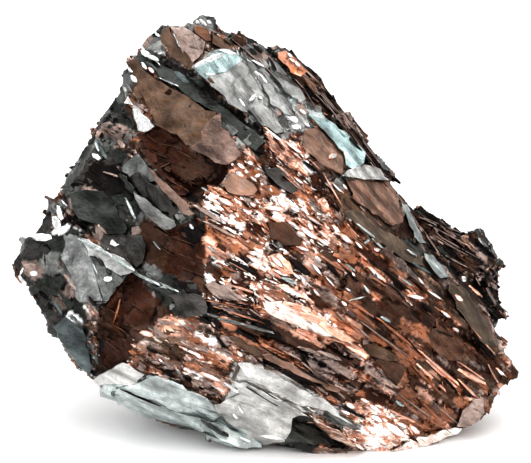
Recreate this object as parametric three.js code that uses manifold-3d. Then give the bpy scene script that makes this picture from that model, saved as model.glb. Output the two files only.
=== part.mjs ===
// A lump of native tellurium: one mass of bladed crystals that grew side by side and broke out together.
// Millimetres, +Z up. The origin lies on the flat cleavage face that the lump rests on.
import * as THREE from "three";
import { ConvexGeometry } from "three/addons/geometries/ConvexGeometry.js";
import { MeshSurfaceSampler } from "three/addons/math/MeshSurfaceSampler.js";
import { mergeVertices } from "three/addons/utils/BufferGeometryUtils.js";
import Module from "manifold-3d";

// Driving dimensions. The show face is the broad side, and it leans back from the upright.
const SHOW_LEAN = 18; // degrees
const SHOW_FOOT = new THREE.Vector3(0, -5.5, -1.5); // the show face's lower middle, in the part's frame
const GRAIN_START = { across: -16, up: 5, fall: 18 }; // degrees that the columns run downhill at that spot
const GRAIN_TURN = { perAcross: 0.45, perUp: 0.7 }; // degrees of extra fall per millimetre
const GRAIN_DIP = 0.2; // how far the columns sink behind the show face, per unit of their length
const SEED = 77;

const wasm = await Module();
wasm.setup();

// Places on the show face are [across, up, out]: to the right, up the face, and towards the viewer.
const lean = THREE.MathUtils.degToRad(SHOW_LEAN);
const ACROSS = new THREE.Vector3(1, 0, 0);
const UP = new THREE.Vector3(0, Math.sin(lean), Math.cos(lean));
const OUT = new THREE.Vector3(0, -Math.cos(lean), Math.sin(lean));
const SHOW_FACE = new THREE.Matrix4().makeBasis(ACROSS, UP, OUT).setPosition(SHOW_FOOT);

const placed = ([across, up, out]) => new THREE.Vector3(across, up, out).applyMatrix4(SHOW_FACE);

function onShowFace(point) {
  const local = point.clone().sub(SHOW_FOOT);
  return [local.dot(ACROSS), local.dot(UP)];
}

// The direction that the columns run in at a point of the part: they fan out from the left.
function grainAt(point) {
  const [across, up] = onShowFace(point);
  const fall = THREE.MathUtils.degToRad(
    GRAIN_START.fall +
      GRAIN_TURN.perAcross * (across - GRAIN_START.across) +
      GRAIN_TURN.perUp * (up - GRAIN_START.up),
  );
  return new THREE.Vector3()
    .addScaledVector(ACROSS, Math.cos(fall))
    .addScaledVector(UP, -Math.sin(fall))
    .addScaledVector(OUT, -GRAIN_DIP)
    .normalize();
}

// A repeatable stream of numbers from 0 to 1.
function randomStream(seed) {
  let state = seed;
  return () => {
    state = (state + 0x6d2b79f5) | 0;
    let mixed = Math.imul(state ^ (state >>> 15), 1 | state);
    mixed = (mixed + Math.imul(mixed ^ (mixed >>> 7), 61 | mixed)) ^ mixed;
    return ((mixed ^ (mixed >>> 14)) >>> 0) / 4294967296;
  };
}
const random = randomStream(SEED);
const between = (low, high) => low + (high - low) * random();

// A closed three.js geometry as a manifold-3d solid.
function solidOf(geometry) {
  const bare = new THREE.BufferGeometry().setAttribute("position", geometry.getAttribute("position"));
  bare.setIndex(geometry.getIndex());
  const merged = mergeVertices(bare, 1e-4);
  return new wasm.Manifold(
    new wasm.Mesh({
      numProp: 3,
      vertProperties: merged.getAttribute("position").array,
      triVerts: new Uint32Array(merged.getIndex().array),
    }),
  );
}

// A manifold-3d solid as a three.js geometry.
function geometryOf(solid) {
  const mesh = solid.getMesh();
  const geometry = new THREE.BufferGeometry();
  geometry.setAttribute("position", new THREE.BufferAttribute(new Float32Array(mesh.vertProperties), 3));
  geometry.setIndex(new THREE.BufferAttribute(new Uint32Array(mesh.triVerts), 1));
  return geometry;
}

// The body under the crystals: the main mass, and a lower lump behind its right end. Both are convex.
const MAIN_MASS = [
  // round the edge of the show face, clockwise from the top
  [-6.2, 43.4, -3], [-2.8, 41.2, -4], [2.2, 40, -5], [6, 36.3, -4.5], [9.9, 30.9, -4], [13.4, 25.8, -3],
  [17, 20.5, -3], [21.8, 13.6, -2], [24.9, 8.2, -1.5], [22.2, 3.4, 0.5], [16.6, 0.7, 2.6], [11.8, -0.3, 4],
  [-2, 1, 3.5], [-6, 3.3, 4], [-11.9, 4.6, 3.5], [-16.6, 6.4, 2.5], [-19.9, 10.6, 1], [-22.8, 14.2, 0.5],
  [-25, 18.2, 0], [-24.3, 20.2, -0.5], [-21, 23.6, -1], [-18.4, 30, -2], [-16.2, 34, -2], [-14.2, 37.4, -2.5],
  [-11.6, 40.8, -3], [-8, 43, -3.2],
  // the swelling of the front
  [-3, 30, 4.8], [-6.5, 23.5, 7.5], [-6.5, 15.5, 9.5], [-11.5, 12, 8.5], [3, 8, 9], [10, 3.6, 6],
  [14, 14, 6.5], [-15, 8.2, 4.5], [-2.5, 2.4, 5],
  // the back
  [-8, 35, -11], [-18, 22, -9], [-13, 10, -8], [10, 26, -11], [20, 12, -9], [-2, 22, -14], [4, 10, -13],
  // the keel that the rest face is cut in
  [-8, 2.6, -5], [8, 0.5, -8], [15, 1.5, -4], [0, 1, -9],
];
const REAR_LUMP = [
  [15.2, 23.6, -7], [20, 22.1, -7.5], [23.7, 18, -6.5], [23.6, 13, -4.5], [12, 20, -6], [16, 21.4, -11],
  [21, 15, -11], [12, 12, -10], [14, 8, -4], [22, 9, -5],
];
const hullOf = (places) => solidOf(new ConvexGeometry(places.map(placed)));
const masses = [MAIN_MASS, REAR_LUMP].map((places) => new ConvexGeometry(places.map(placed)));
const body = wasm.Manifold.union(masses.map(solidOf));

// How far a point stands outside the body; negative inside it.
const massPlanes = masses.map((geometry) => {
  const corners = geometry.getAttribute("position");
  const corner = (i) => new THREE.Vector3().fromBufferAttribute(corners, i);
  return Array.from({ length: corners.count / 3 }, (_, i) =>
    new THREE.Plane().setFromCoplanarPoints(corner(3 * i), corner(3 * i + 1), corner(3 * i + 2)),
  );
});
const outside = (point) =>
  Math.min(...massPlanes.map((planes) => Math.max(...planes.map((plane) => plane.distanceToPoint(point)))));

// Stout crystals that stand out round the rim, each the convex hull of its corners.
const rimCrystals = [
  // top knob
  { corners: [[-8.4, 42.6, -2], [-7.2, 43.6, -3], [-6.4, 44.1, -3.5], [-5, 43.9, -4],
      [-4.5, 42.6, -5], [-5, 41.8, -2], [-8.2, 41.4, -1], [-6, 42, -7], [-8.4, 41.8, -6]] },
  // upper left crystal
  { corners: [[-12.4, 40.8, -3], [-12, 41.8, -3.4], [-10.6, 42.6, -4], [-9.6, 42.6, -4],
      [-9.8, 40, -1], [-13.2, 39.6, -2], [-12, 38, -1], [-10.6, 41, -8], [-12.4, 39, -7]] },
  // upper left blade
  { corners: [[-14.5, 38, -2.2], [-14.4, 36.2, -1.6], [-12.6, 39.4, -2], [-12, 36, 0],
      [-13.6, 38, -6], [-13, 34.5, -5]] },
  // left crystal
  { corners: [[-25.2, 19.4, 0.4], [-25.4, 17.6, 0.8], [-24.6, 16.6, 1], [-22.6, 16.4, 2],
      [-22, 20, 1.6], [-23.6, 20.8, 0], [-24.6, 18.4, -4], [-22, 18, -5]] },
  // right tip
  { corners: [[25.7, 7.9, -1.6], [25.3, 7.2, -1], [24.2, 6.6, -0.4], [22, 7.4, 0.8], [23, 11, -1],
      [24.6, 9.6, -2], [23, 8, -5]] },
  // rear crest
  { corners: [[15.2, 24.4, -6.8], [17, 24, -6.6], [19, 22.8, -6.8], [15, 21, -5.6], [19, 20, -6],
      [15.6, 23, -10], [19, 21, -10]] },
  // rear shoulder
  { corners: [[20.4, 22, -7], [22, 20.6, -6.6], [23.2, 19.2, -6.4], [23.6, 16, -6], [20, 18, -5.4],
      [21, 20, -10], [22.6, 16, -9.6]] },
  // upper flank crystal
  { corners: [[0.8, 41.1, -5], [2.4, 40.5, -4.6], [4.2, 38.8, -4.4], [5.6, 37.6, -4.4],
      [6.3, 36, -4.6], [3, 38, -2.4], [1, 40, -3], [5, 36, -2.8], [3, 38, -9]] },
  // crown crystal
  { corners: [[-3.8, 42.3, -4], [-2.2, 41.3, -4.2], [-0.6, 41.4, -4.6], [-3.6, 40.4, -2.6],
      [-0.6, 40, -3.4], [-2, 41, -8]] },
];

// The crystal faces that show on the broad side. Each outline is [across, up].
// raise is how far its middle stands above the body. tilt turns it: extra rise per millimetre, across and up.
const SLAB_THICKNESS = 3.2;
const SLAB_FLARE = 1.12; // how much wider a slab is at its root
const slabs = [
  // upper bronze blade
  { raise: 1.0, tilt: [0, 0], outline: [[-13.7, 39.1], [-12.8, 39.3], [-11.1, 37.5], [-6.8, 34.4],
      [-4.6, 33.6], [-6.3, 31], [-7.6, 30.2], [-10.5, 32.5], [-12.7, 36.3]] },
  // arrow plate
  { raise: 1.3, tilt: [0.1, -0.1], outline: [[-4.4, 33.8], [-2.8, 29.6], [-4.3, 28.7], [-7.0, 29.8],
      [-8, 30.9], [-6.4, 32.7]] },
  // pink grey plate
  { raise: 0.8, tilt: [0, 0.1], outline: [[-9.6, 42.6], [-8.6, 42.7], [-6.2, 41.2], [-6, 40.3],
      [-7.4, 39], [-8.9, 41]] },
  // brown strip
  { raise: 0.6, tilt: [-0.2, 0], outline: [[-10.4, 42.7], [-9.6, 42.6], [-9.1, 41.3], [-8, 39.7],
      [-7.4, 38.6], [-8.8, 39.1], [-10, 39.9]] },
  // silver plate
  { raise: 1.1, tilt: [0, 0.05], outline: [[-7.3, 38.3], [-6.1, 39.7], [-4.8, 40.4], [-2.9, 40.1],
      [-0.2, 36.9], [-0.4, 35.2], [-1.9, 33.8], [-5.5, 36.6]] },
  // grey plate
  { raise: 0.9, tilt: [0.12, 0.1], outline: [[-0.2, 36.9], [1.5, 35.8], [3.1, 34.2], [1.7, 33.8],
      [0.9, 32.8], [-0.1, 32.7], [-1.9, 33.8], [-0.4, 35.2]] },
  // pale flank plate
  { raise: 0.7, tilt: [0, 0], outline: [[4.1, 33.7], [5.5, 33.4], [7.3, 32.5], [8.8, 31.1],
      [10, 29.9], [9.9, 28.9], [8.8, 28.2], [8, 28.9], [7.4, 30.1], [6.2, 31.8]] },
  // brown flank plate
  { raise: 0.8, tilt: [-0.1, -0.1], outline: [[3.5, 32.4], [5, 32.2], [6.3, 31.5], [7.5, 29.9],
      [8, 28.8], [7.4, 27.2], [5.6, 28.8], [4.1, 29.4], [3.4, 30.8]] },
  // lower flank plate
  { raise: 0.7, tilt: [0.05, 0], outline: [[7.6, 27.6], [10.1, 27.4], [11.8, 27.2], [13.5, 25.4],
      [14, 23.8], [13, 22.1], [10.8, 22.1], [9.5, 24], [7.9, 26]] },
  // long flank plate
  { raise: 0.6, tilt: [0, 0], outline: [[10.8, 22.1], [13, 22.1], [15.5, 20.4], [18, 18.4],
      [20.5, 16.2], [22, 14.7], [23, 11.7], [22.5, 10.9], [20.5, 13], [17.5, 16.2], [14, 19.7]] },
  // dark slate face
  { raise: 0.8, tilt: [-0.15, 0.1], outline: [[-20.1, 25.9], [-15.4, 25.5], [-14.9, 23.7],
      [-14.2, 22.6], [-14.4, 20.6], [-15.6, 20.5], [-17.6, 21.9], [-18.6, 23], [-19.6, 24.4]] },
  // bright shoulder
  { raise: 0.7, tilt: [0.2, 0], outline: [[-20.5, 24.7], [-20, 24], [-19.2, 22.7], [-19.8, 21.9],
      [-21, 21.6], [-21.4, 22.9]] },
  // silver kite
  { raise: 1.1, tilt: [0.1, -0.1], outline: [[-19.2, 21.8], [-17.6, 21.2], [-15.3, 20],
      [-13.9, 19.3], [-13, 18.3], [-14.2, 17.1], [-15.7, 15], [-17, 14.3], [-18.4, 15.4],
      [-18.9, 16.8], [-20.5, 19.6]] },
  // lower left face
  { raise: 0.6, tilt: [-0.2, 0], outline: [[-21.3, 12.6], [-20.2, 13.7], [-19, 12], [-17.8, 11.3],
      [-17.8, 8.4], [-18.7, 8.4], [-19.8, 10.1]] },
  // bright wedge
  { raise: 0.5, tilt: [0.25, 0.1], outline: [[-13.7, 35.6], [-13.2, 34.9], [-12, 34], [-10.9, 32.5],
      [-12, 31.9], [-12.6, 32], [-13.2, 33.6], [-14, 35.1]] },
  // grey column
  { raise: 0.9, tilt: [0.2, 0], outline: [[-12.6, 30.3], [-11.8, 28.7], [-10, 26.3], [-8.8, 24],
      [-9.1, 23], [-10.5, 25.2], [-12, 27], [-13.3, 28.9], [-13.7, 30]] },
  // grey column, lower
  { raise: 0.9, tilt: [-0.2, 0], outline: [[-14.5, 28.7], [-13.4, 26.9], [-11.5, 24.7], [-9.5, 23],
      [-9, 22.8], [-9.9, 22.2], [-11, 22.8], [-12.4, 24.4], [-13.5, 26], [-14.8, 27.5]] },
  // slim blade
  { raise: 0.8, tilt: [0, -0.1], outline: [[-11.8, 28.6], [-11.2, 28.3], [-9.2, 26.3], [-7.7, 25],
      [-7.2, 24.3], [-7.7, 23.8], [-8.4, 24.1], [-9.9, 25.8], [-11.4, 27.9]] },
  // left dark facet
  { raise: 0.6, tilt: [-0.1, 0.2], outline: [[-16.6, 32.9], [-15.5, 33.1], [-14.4, 32.2],
      [-12.2, 31.4], [-13.2, 30.4], [-14.1, 30.9], [-15, 31]] },
  // middle slate
  { raise: 0.6, tilt: [0, -0.2], outline: [[-13, 18], [-12.2, 18], [-10.6, 16.7], [-8.5, 16.3],
      [-6, 16], [-5.7, 13.8], [-8.3, 13.6], [-9.1, 13.8], [-10.1, 15.7], [-11.7, 16.7]] },
  // pale foot face
  { raise: 0.9, tilt: [0, 0], outline: [[-17.1, 7.6], [-15.5, 8.3], [-14, 9.1], [-13.1, 8.9],
      [-12.2, 7.9], [-9.9, 7.6], [-8.3, 6.6], [-6.2, 5.7], [-5.4, 4.7], [-5.3, 3.7], [-6.4, 3.4],
      [-8.3, 3.9], [-10.6, 4.5], [-14, 6.3]] },
  // foot rim
  { raise: 0.6, tilt: [0, -0.15], outline: [[-14.9, 6.2], [-14, 6.1], [-10.6, 4.4], [-8.3, 3.7],
      [-4.8, 2.1], [-2.7, 1.2], [-2.3, 0.6], [-4.6, 1.5], [-7.1, 2.7], [-9.4, 2.9], [-11.9, 3.6],
      [-14.8, 5.3]] },
  // foot plate
  { raise: 1.0, tilt: [0.05, 0], outline: [[-2.5, 8.8], [0, 8], [2.5, 5.8], [4.4, 3.8], [2.7, 3.8],
      [2.2, 2.7], [1.5, 1.6], [-0.4, 1.1], [-2.1, 2], [-4.1, 3.7], [-4.4, 4.7], [-3.4, 6.7]] },
  // broad bright blade
  { raise: 0.9, tilt: [0, 0.1], outline: [[-1.6, 17.2], [1.6, 16.8], [4, 15.8], [5.9, 13.6],
      [9, 10.8], [7.5, 11.2], [4.5, 12.4], [1.6, 14], [-1.1, 15.6]] },
];

// The body's surface behind a spot of the show face: how far out it is, and its slope across and up.
const bodyMesh = new THREE.Mesh(geometryOf(body), new THREE.MeshBasicMaterial());
const FAR = 100;
function bodyFront([across, up]) {
  const ray = new THREE.Raycaster(placed([across, up, FAR]), OUT.clone().negate());
  const [hit] = ray.intersectObject(bodyMesh);
  const normal = hit.face.normal;
  const facing = normal.dot(OUT);
  const slope = [-normal.dot(ACROSS) / facing, -normal.dot(UP) / facing];
  return { out: FAR - hit.distance, slope };
}

function middleOf(outline) {
  const sum = outline.reduce((total, [across, up]) => [total[0] + across, total[1] + up], [0, 0]);
  return sum.map((value) => value / outline.length);
}

// A slab: its top has the outline and follows the body's slope plus its tilt, and its wider root sits inside.
const STEEPEST_SLAB = 0.9; // rise per millimetre
function slabSolid({ outline, raise, tilt }) {
  const middle = middleOf(outline);
  const front = bodyFront(middle);
  const slope = front.slope.map((rise, i) =>
    THREE.MathUtils.clamp(rise + tilt[i], -STEEPEST_SLAB, STEEPEST_SLAB),
  );
  const shape = new THREE.Shape(outline.map(([across, up]) => new THREE.Vector2(across, up)));
  const geometry = new THREE.ExtrudeGeometry(shape, { depth: SLAB_THICKNESS, bevelEnabled: false });
  const corners = geometry.getAttribute("position");
  for (let i = 0; i < corners.count; i++) {
    const isTop = corners.getZ(i) > SLAB_THICKNESS / 2;
    const across = corners.getX(i) - middle[0];
    const up = corners.getY(i) - middle[1];
    const spread = isTop ? 1 : SLAB_FLARE;
    const height = front.out + raise + slope[0] * across + slope[1] * up;
    corners.setXYZ(
      i,
      middle[0] + across * spread,
      middle[1] + up * spread,
      isTop ? height : height - SLAB_THICKNESS,
    );
  }
  return solidOf(geometry.applyMatrix4(SHOW_FACE));
}

function insideOutline(outline, [across, up]) {
  let inside = false;
  outline.forEach(([x1, y1], i) => {
    const [x2, y2] = outline[(i + 1) % outline.length];
    if (y1 > up !== y2 > up && across < x1 + ((x2 - x1) * (up - y1)) / (y2 - y1)) inside = !inside;
  });
  return inside;
}

// Whether a point of the surface, with its outward direction, is where a slab lies.
function underSlab(point, outward) {
  const spot = onShowFace(point);
  return outward.dot(OUT) > 0 && slabs.some(({ outline }) => insideOutline(outline, spot));
}

// A bundle of columns grown side by side, along +X. Its section has a flat root and a sloping top for each
// column. Every column starts and stops at its own place, its ends are cut slantwise, and it narrows forwards.
const COLUMN_GAP = 0.16; // how wide the step between two columns is
function bundleGeometry({ back, front, width, thickness, columns, relief, taper, ragged, slant }) {
  const section = new THREE.Shape();
  section.moveTo(-width / 2, -thickness);
  section.lineTo(width / 2, -thickness);
  const pitch = width / columns;
  for (let n = columns; n > 0; n--) {
    const right = -width / 2 + n * pitch - (n === columns ? 0 : COLUMN_GAP / 2);
    const left = -width / 2 + (n - 1) * pitch + (n === 1 ? 0 : COLUMN_GAP / 2);
    section.lineTo(right, -between(0, relief));
    section.lineTo(left, -between(0, relief));
  }
  const geometry = new THREE.ExtrudeGeometry(section, { depth: 1, bevelEnabled: false });
  const corners = geometry.getAttribute("position");
  const endOf = () => ({
    short: Array.from({ length: columns }, () => between(0, ragged)),
    slant: between(-slant, slant),
  });
  const [backEnd, frontEnd] = [endOf(), endOf()];
  for (let i = 0; i < corners.count; i++) {
    const [across, up] = [corners.getX(i), corners.getY(i)];
    const column = THREE.MathUtils.clamp(Math.floor((across + width / 2) / pitch), 0, columns - 1);
    const atFront = corners.getZ(i) > 0.5;
    const end = atFront ? frontEnd : backEnd;
    const loss = end.short[column] + Math.abs(end.slant) * width / 2 - end.slant * across;
    corners.setXYZ(i, atFront ? front - loss : loss - back, across * (atFront ? taper : 1), up);
  }
  return geometry;
}

// A direction near another one.
function near(direction, wander) {
  const shift = new THREE.Vector3(between(-1, 1), between(-1, 1), between(-1, 1));
  return direction.clone().addScaledVector(shift, wander).normalize();
}

// A bundle laid in the surface of the body at a point, and cut short where it would stick out past its reach.
const LENGTH_STEP = 0.25;
const CHECKED_WIDTH = 0.35; // where a bundle's reach is tested beside its middle line, as a share of its width
function bundleAt(point, outward, size) {
  const along = near(grainAt(point), size.wander);
  const facing = outward.clone().addScaledVector(along, -outward.dot(along)).normalize();
  facing.applyAxisAngle(along, THREE.MathUtils.degToRad(between(-size.roll, size.roll)));
  const beside = new THREE.Vector3().crossVectors(facing, along);
  const frame = new THREE.Matrix4().makeBasis(along, beside, facing);
  frame.setPosition(point.clone().addScaledVector(facing, size.rise));
  const lengthTowards = (sign) => {
    const fits = (distance) =>
      [-CHECKED_WIDTH, CHECKED_WIDTH].every((side) => {
        const corner = new THREE.Vector3(sign * distance, side * size.width, 0).applyMatrix4(frame);
        return outside(corner) < size.reach;
      });
    let length = 0;
    while (length < size.length / 2 && fits(length + LENGTH_STEP)) length += LENGTH_STEP;
    return length;
  };
  const [back, front] = [lengthTowards(-1), lengthTowards(1)];
  if (back + front < size.shortest) return null;
  return solidOf(bundleGeometry({ ...size, back, front }).applyMatrix4(frame));
}

// Bundles all over the body, none starting closer to another than the spacing along and across the grain.
const SAME_SIDE = 0.2; // two spots are neighbours when their outward directions agree by more than this
const LOWEST_START = 0.3; // nothing starts on the rest face
function coatOfBundles({ tries, spacing, belongsAt, sizeOf }) {
  const sampler = new MeshSurfaceSampler(bodyMesh);
  sampler.setRandomGenerator(random).build();
  const spots = [];
  const bundles = [];
  for (let n = 0; n < tries; n++) {
    const point = new THREE.Vector3();
    const outward = new THREE.Vector3();
    sampler.sample(point, outward);
    const grain = grainAt(point);
    const crowded = spots.some((spot) => {
      const gap = point.clone().sub(spot.point);
      const along = gap.dot(grain);
      const across = Math.sqrt(Math.max(0, gap.lengthSq() - along * along));
      const sameSide = outward.dot(spot.outward) > SAME_SIDE;
      return sameSide && (along / spacing.along) ** 2 + (across / spacing.across) ** 2 < 1;
    });
    if (crowded || point.z < LOWEST_START || !belongsAt(point, outward)) continue;
    const bundle = bundleAt(point, outward, sizeOf());
    if (!bundle) continue;
    spots.push({ point, outward });
    bundles.push(bundle);
  }
  return bundles;
}

// Broad, long bundles give the ledges, and the slimmer ones on them the columns.
const ledges = coatOfBundles({
  tries: 1500,
  spacing: { along: 8.4, across: 4 },
  belongsAt: (point, outward) => !underSlab(point, outward),
  sizeOf: () => {
    const rise = between(0.4, 1.1);
    return {
      length: between(9, 18),
      shortest: 2,
      width: between(4, 6.5),
      thickness: 4,
      columns: 2,
      relief: 0.5,
      taper: between(0.6, 1),
      ragged: 1.5,
      slant: 0.35,
      roll: 12,
      wander: 0.05,
      rise,
      reach: rise + 0.45,
    };
  },
});
const columns = coatOfBundles({
  tries: 3000,
  spacing: { along: 6.6, across: 2.9 },
  belongsAt: (point, outward) => outward.dot(OUT) > -0.1 && !underSlab(point, outward),
  sizeOf: () => {
    const rise = between(0.5, 1.3);
    return {
      length: between(6, 13),
      shortest: 1.5,
      width: between(1.8, 3.4),
      thickness: 2.4,
      columns: 2,
      relief: 0.6,
      taper: between(0.5, 1),
      ragged: between(0.3, 2),
      slant: 0.5,
      roll: 12,
      wander: 0.05,
      rise,
      reach: rise + 0.5,
    };
  },
});

// Where columns have dropped out along the grain: clefts from one spot of the show face to another.
const CLEFT_CLEAR = 3; // how far a cut reaches out from the body, so that it takes all that grew there
const CLEFT_SHOULDER = 0.3; // how far out from the body a cleft begins to narrow
const CLEFT_DEEPEST = 0.4; // where along a cleft its deepest spot is
const clefts = [
  // long cleft under the flank
  { from: [2.6, 28.2], to: [10.2, 19.6], width: 1.2, depth: 1.2 },
  // upper slit
  { from: [-5.6, 15.4], to: [4.4, 12.6], width: 1.1, depth: 1.4 },
  // lower slit
  { from: [-4.8, 13.2], to: [7.6, 8], width: 1.2, depth: 1.5 },
  // short slit
  { from: [4.6, 12.4], to: [10.5, 8.4], width: 1, depth: 1.2 },
  // foot gap
  { from: [2, 3.4], to: [9.4, 0.4], width: 1.6, depth: 1.6 },
  // slot in the foot face
  { from: [-14.6, 6.9], to: [-10.2, 4.9], width: 0.9, depth: 0.9 },
  // dark band under the silver plate
  { from: [-11.6, 38.9], to: [-1.2, 31.4], width: 1.6, depth: 0.9 },
  // right hollow
  { from: [15.5, 13.6], to: [21.5, 7.6], width: 1.2, depth: 1 },
  // step behind the flank
  { from: [14.6, 23.4], to: [19.6, 16], width: 1, depth: 1.2 },
];
function cleftSolid({ from, to, width, depth }) {
  const start = new THREE.Vector2(...from);
  const stop = new THREE.Vector2(...to);
  const side = stop.clone().sub(start).rotateAround(new THREE.Vector2(), Math.PI / 2).setLength(width / 2);
  const deepest = start.clone().lerp(stop, CLEFT_DEEPEST);
  const lips = [deepest.clone().add(side), deepest.clone().sub(side)];
  const at = (spot, shift) => [spot.x, spot.y, bodyFront([spot.x, spot.y]).out + shift];
  return hullOf([
    ...[start, stop, ...lips].map((spot) => at(spot, CLEFT_CLEAR)),
    ...lips.map((spot) => at(spot, CLEFT_SHOULDER)),
    at(start, 0),
    at(stop, 0),
    at(deepest, -depth),
  ]);
}

// The pocket between the bronze blade and the grey columns.
const POCKET_DEPTH = 1.2;
const POCKET_SHOULDER = 0.5; // how far out from the body the pocket begins to narrow
const POCKET_FLOOR = 0.6; // the floor's size as a share of the mouth's
const POCKET_MOUTH = [[-12.4, 31.8], [-10.7, 32.4], [-6.5, 30], [-3.6, 28.9], [-3.9, 27.2], [-5.8, 26.4],
  [-6.9, 25.3], [-8.5, 26.6], [-11.4, 29.2]];
function pocketSolid() {
  const middle = middleOf(POCKET_MOUTH);
  const floorOut = bodyFront(middle).out - POCKET_DEPTH;
  const mouthAt = (shift) => POCKET_MOUTH.map((spot) => [...spot, bodyFront(spot).out + shift]);
  const floor = POCKET_MOUTH.map((spot) => [
    ...spot.map((value, i) => middle[i] + POCKET_FLOOR * (value - middle[i])),
    floorOut,
  ]);
  return hullOf([...mouthAt(CLEFT_CLEAR), ...mouthAt(POCKET_SHOULDER), ...floor]);
}

// Everything below the rest face is cut away.
const under = new THREE.BoxGeometry(200, 200, 100).translate(0, 0, -50);
const cuts = wasm.Manifold.union([solidOf(under), pocketSolid(), ...clefts.map(cleftSolid)]);
const rim = rimCrystals.map(({ corners }) => hullOf(corners));
const grown = [...rim, ...slabs.map(slabSolid), ...ledges, ...columns];
const broken = wasm.Manifold.union([body, ...grown]).subtract(cuts);
// The cuts can leave a loose crumb, which falls away.
const [lump] = broken.decompose().sort((one, other) => other.volume() - one.volume());

const tellurium = new THREE.Mesh(
  geometryOf(lump),
  new THREE.MeshStandardMaterial({ name: "tellurium", color: 0x9a8f89, roughness: 0.35, metalness: 1 }),
);
tellurium.name = "tellurium_chunk";
const group = new THREE.Group();
group.add(tellurium);
export default group;
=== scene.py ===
"""A lump of native tellurium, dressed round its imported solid.

The solid gives the lump's size and broad form. Here it is covered with what a real one grows: large
cleavage faces, single blades, long columns laid side by side, thin fibres, short grains, flakes and broken
chips. Lengths in the code are millimetres unless a name says otherwise, and meshes are written in metres.
"""

from collections import namedtuple
from math import cos, pi, radians, sin

import bmesh
import bpy
import numpy as np
from mathutils import Matrix, Vector, noise
from mathutils.bvhtree import BVHTree


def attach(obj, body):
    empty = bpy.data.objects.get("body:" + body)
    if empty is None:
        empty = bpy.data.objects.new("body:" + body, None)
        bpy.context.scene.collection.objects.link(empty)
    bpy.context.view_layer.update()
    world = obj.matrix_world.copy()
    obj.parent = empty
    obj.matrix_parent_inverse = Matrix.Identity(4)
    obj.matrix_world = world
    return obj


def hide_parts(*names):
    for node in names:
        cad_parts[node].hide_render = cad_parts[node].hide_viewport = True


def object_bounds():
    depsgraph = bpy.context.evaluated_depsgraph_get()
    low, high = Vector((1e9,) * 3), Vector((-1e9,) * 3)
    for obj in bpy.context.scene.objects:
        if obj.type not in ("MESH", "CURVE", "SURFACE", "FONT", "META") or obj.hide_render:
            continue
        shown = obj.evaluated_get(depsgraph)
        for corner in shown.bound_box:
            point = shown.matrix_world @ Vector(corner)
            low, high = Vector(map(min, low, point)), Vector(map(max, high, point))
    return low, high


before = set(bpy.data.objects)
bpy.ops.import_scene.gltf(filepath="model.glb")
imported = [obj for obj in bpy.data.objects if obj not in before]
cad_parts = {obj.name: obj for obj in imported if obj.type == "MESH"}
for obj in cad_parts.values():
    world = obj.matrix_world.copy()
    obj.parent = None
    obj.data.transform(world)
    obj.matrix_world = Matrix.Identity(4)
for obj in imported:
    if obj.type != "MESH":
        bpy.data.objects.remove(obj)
CAD_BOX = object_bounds()

bl_info = {
    "name": "Tellurium Chunk",
    "version": (1, 0, 0),
    "blender": (4, 5, 0),
    "location": "3D View > Sidebar > Tellurium",
    "description": "Builds a lump of native tellurium from cleavage faces, blades, columns and chips",
    "category": "Object",
}

BODY = "root"
NODE = "tellurium_chunk"
MM = 0.001  # in metres
BOX = [np.array(corner) / MM for corner in CAD_BOX]  # the solid's lowest and highest corner

# ---------------------------------------------------------------------------------------------------------
# The show face: the broad side, which leans back. A spot on it is [across, up], and out is its depth.
LEAN = radians(18)
FOOT = np.array((0.0, -5.5, -1.5))
ACROSS = np.array((1.0, 0.0, 0.0))
UP = np.array((0.0, sin(LEAN), cos(LEAN)))
OUT = np.array((0.0, -cos(LEAN), sin(LEAN)))
Frame = namedtuple("Frame", "foot axes")  # axes: across, up and out
SHOW = Frame(FOOT, np.stack((ACROSS, UP, OUT)))
# Outlines are in tenths of a millimetre, from the upper left corner of the show face, y downwards.
TENTHS = 10
SHOW_LEFT, SHOW_TOP = -26.55, 45.2
FAR_OUT = 60.0  # well outside the lump


def face_spots(points, face=SHOW):
    """Points in the part's frame as [across, up, out] of a face."""
    return (points - face.foot) @ face.axes.T


def part_points(spots, face=SHOW):
    """Spots [across, up, out] of a face as points in the part's frame."""
    return face.foot + np.asarray(spots) @ face.axes


def across_up(outline):
    """An outline in tenths as an array of [across, up]."""
    across, down = (np.asarray(outline, float) / TENTHS).T
    return np.column_stack((SHOW_LEFT + across, SHOW_TOP - down))


# The columns fan out: the angle by which they fall to the right, in degrees, grows across and up.
GRAIN_START, GRAIN_ACROSS, GRAIN_UP = 18.0, 0.45, 0.7
GRAIN_SPOT = (-16, 5)  # where the angle is GRAIN_START
GRAIN_DIP = 0.2  # how far they also lean into the lump
NO_LENGTH = 1e-9


def grain_at(points):
    """The direction that the columns run in at each point."""
    across, up, _ = face_spots(points).T
    from_left, from_low = across - GRAIN_SPOT[0], up - GRAIN_SPOT[1]
    fall = np.radians(GRAIN_START + GRAIN_ACROSS * from_left + GRAIN_UP * from_low)
    along = np.cos(fall)[:, None] * ACROSS - np.sin(fall)[:, None] * UP - GRAIN_DIP * OUT
    return unit(along)


def unit(vectors):
    """The vectors at length one."""
    return vectors / np.maximum(np.linalg.norm(vectors, axis=-1, keepdims=True), NO_LENGTH)


def inside(outline, spots):
    """Which spots [across, up] lie inside a closed outline."""
    x, y = spots[:, 0], spots[:, 1]
    found = np.zeros(len(spots), bool)
    for (x0, y0), (x1, y1) in zip(outline, np.roll(outline, -1, axis=0)):
        if y0 == y1:
            continue
        crosses = (y0 > y) != (y1 > y)
        found ^= crosses & (x < (x1 - x0) * (y - y0) / (y1 - y0) + x0)
    return found


# ---------------------------------------------------------------------------------------------------------
# Zones of the show face: what grows there and in which finishes. A later zone lies over an earlier one.
Zone = namedtuple("Zone", "coat sparkle mix outline")

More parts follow.
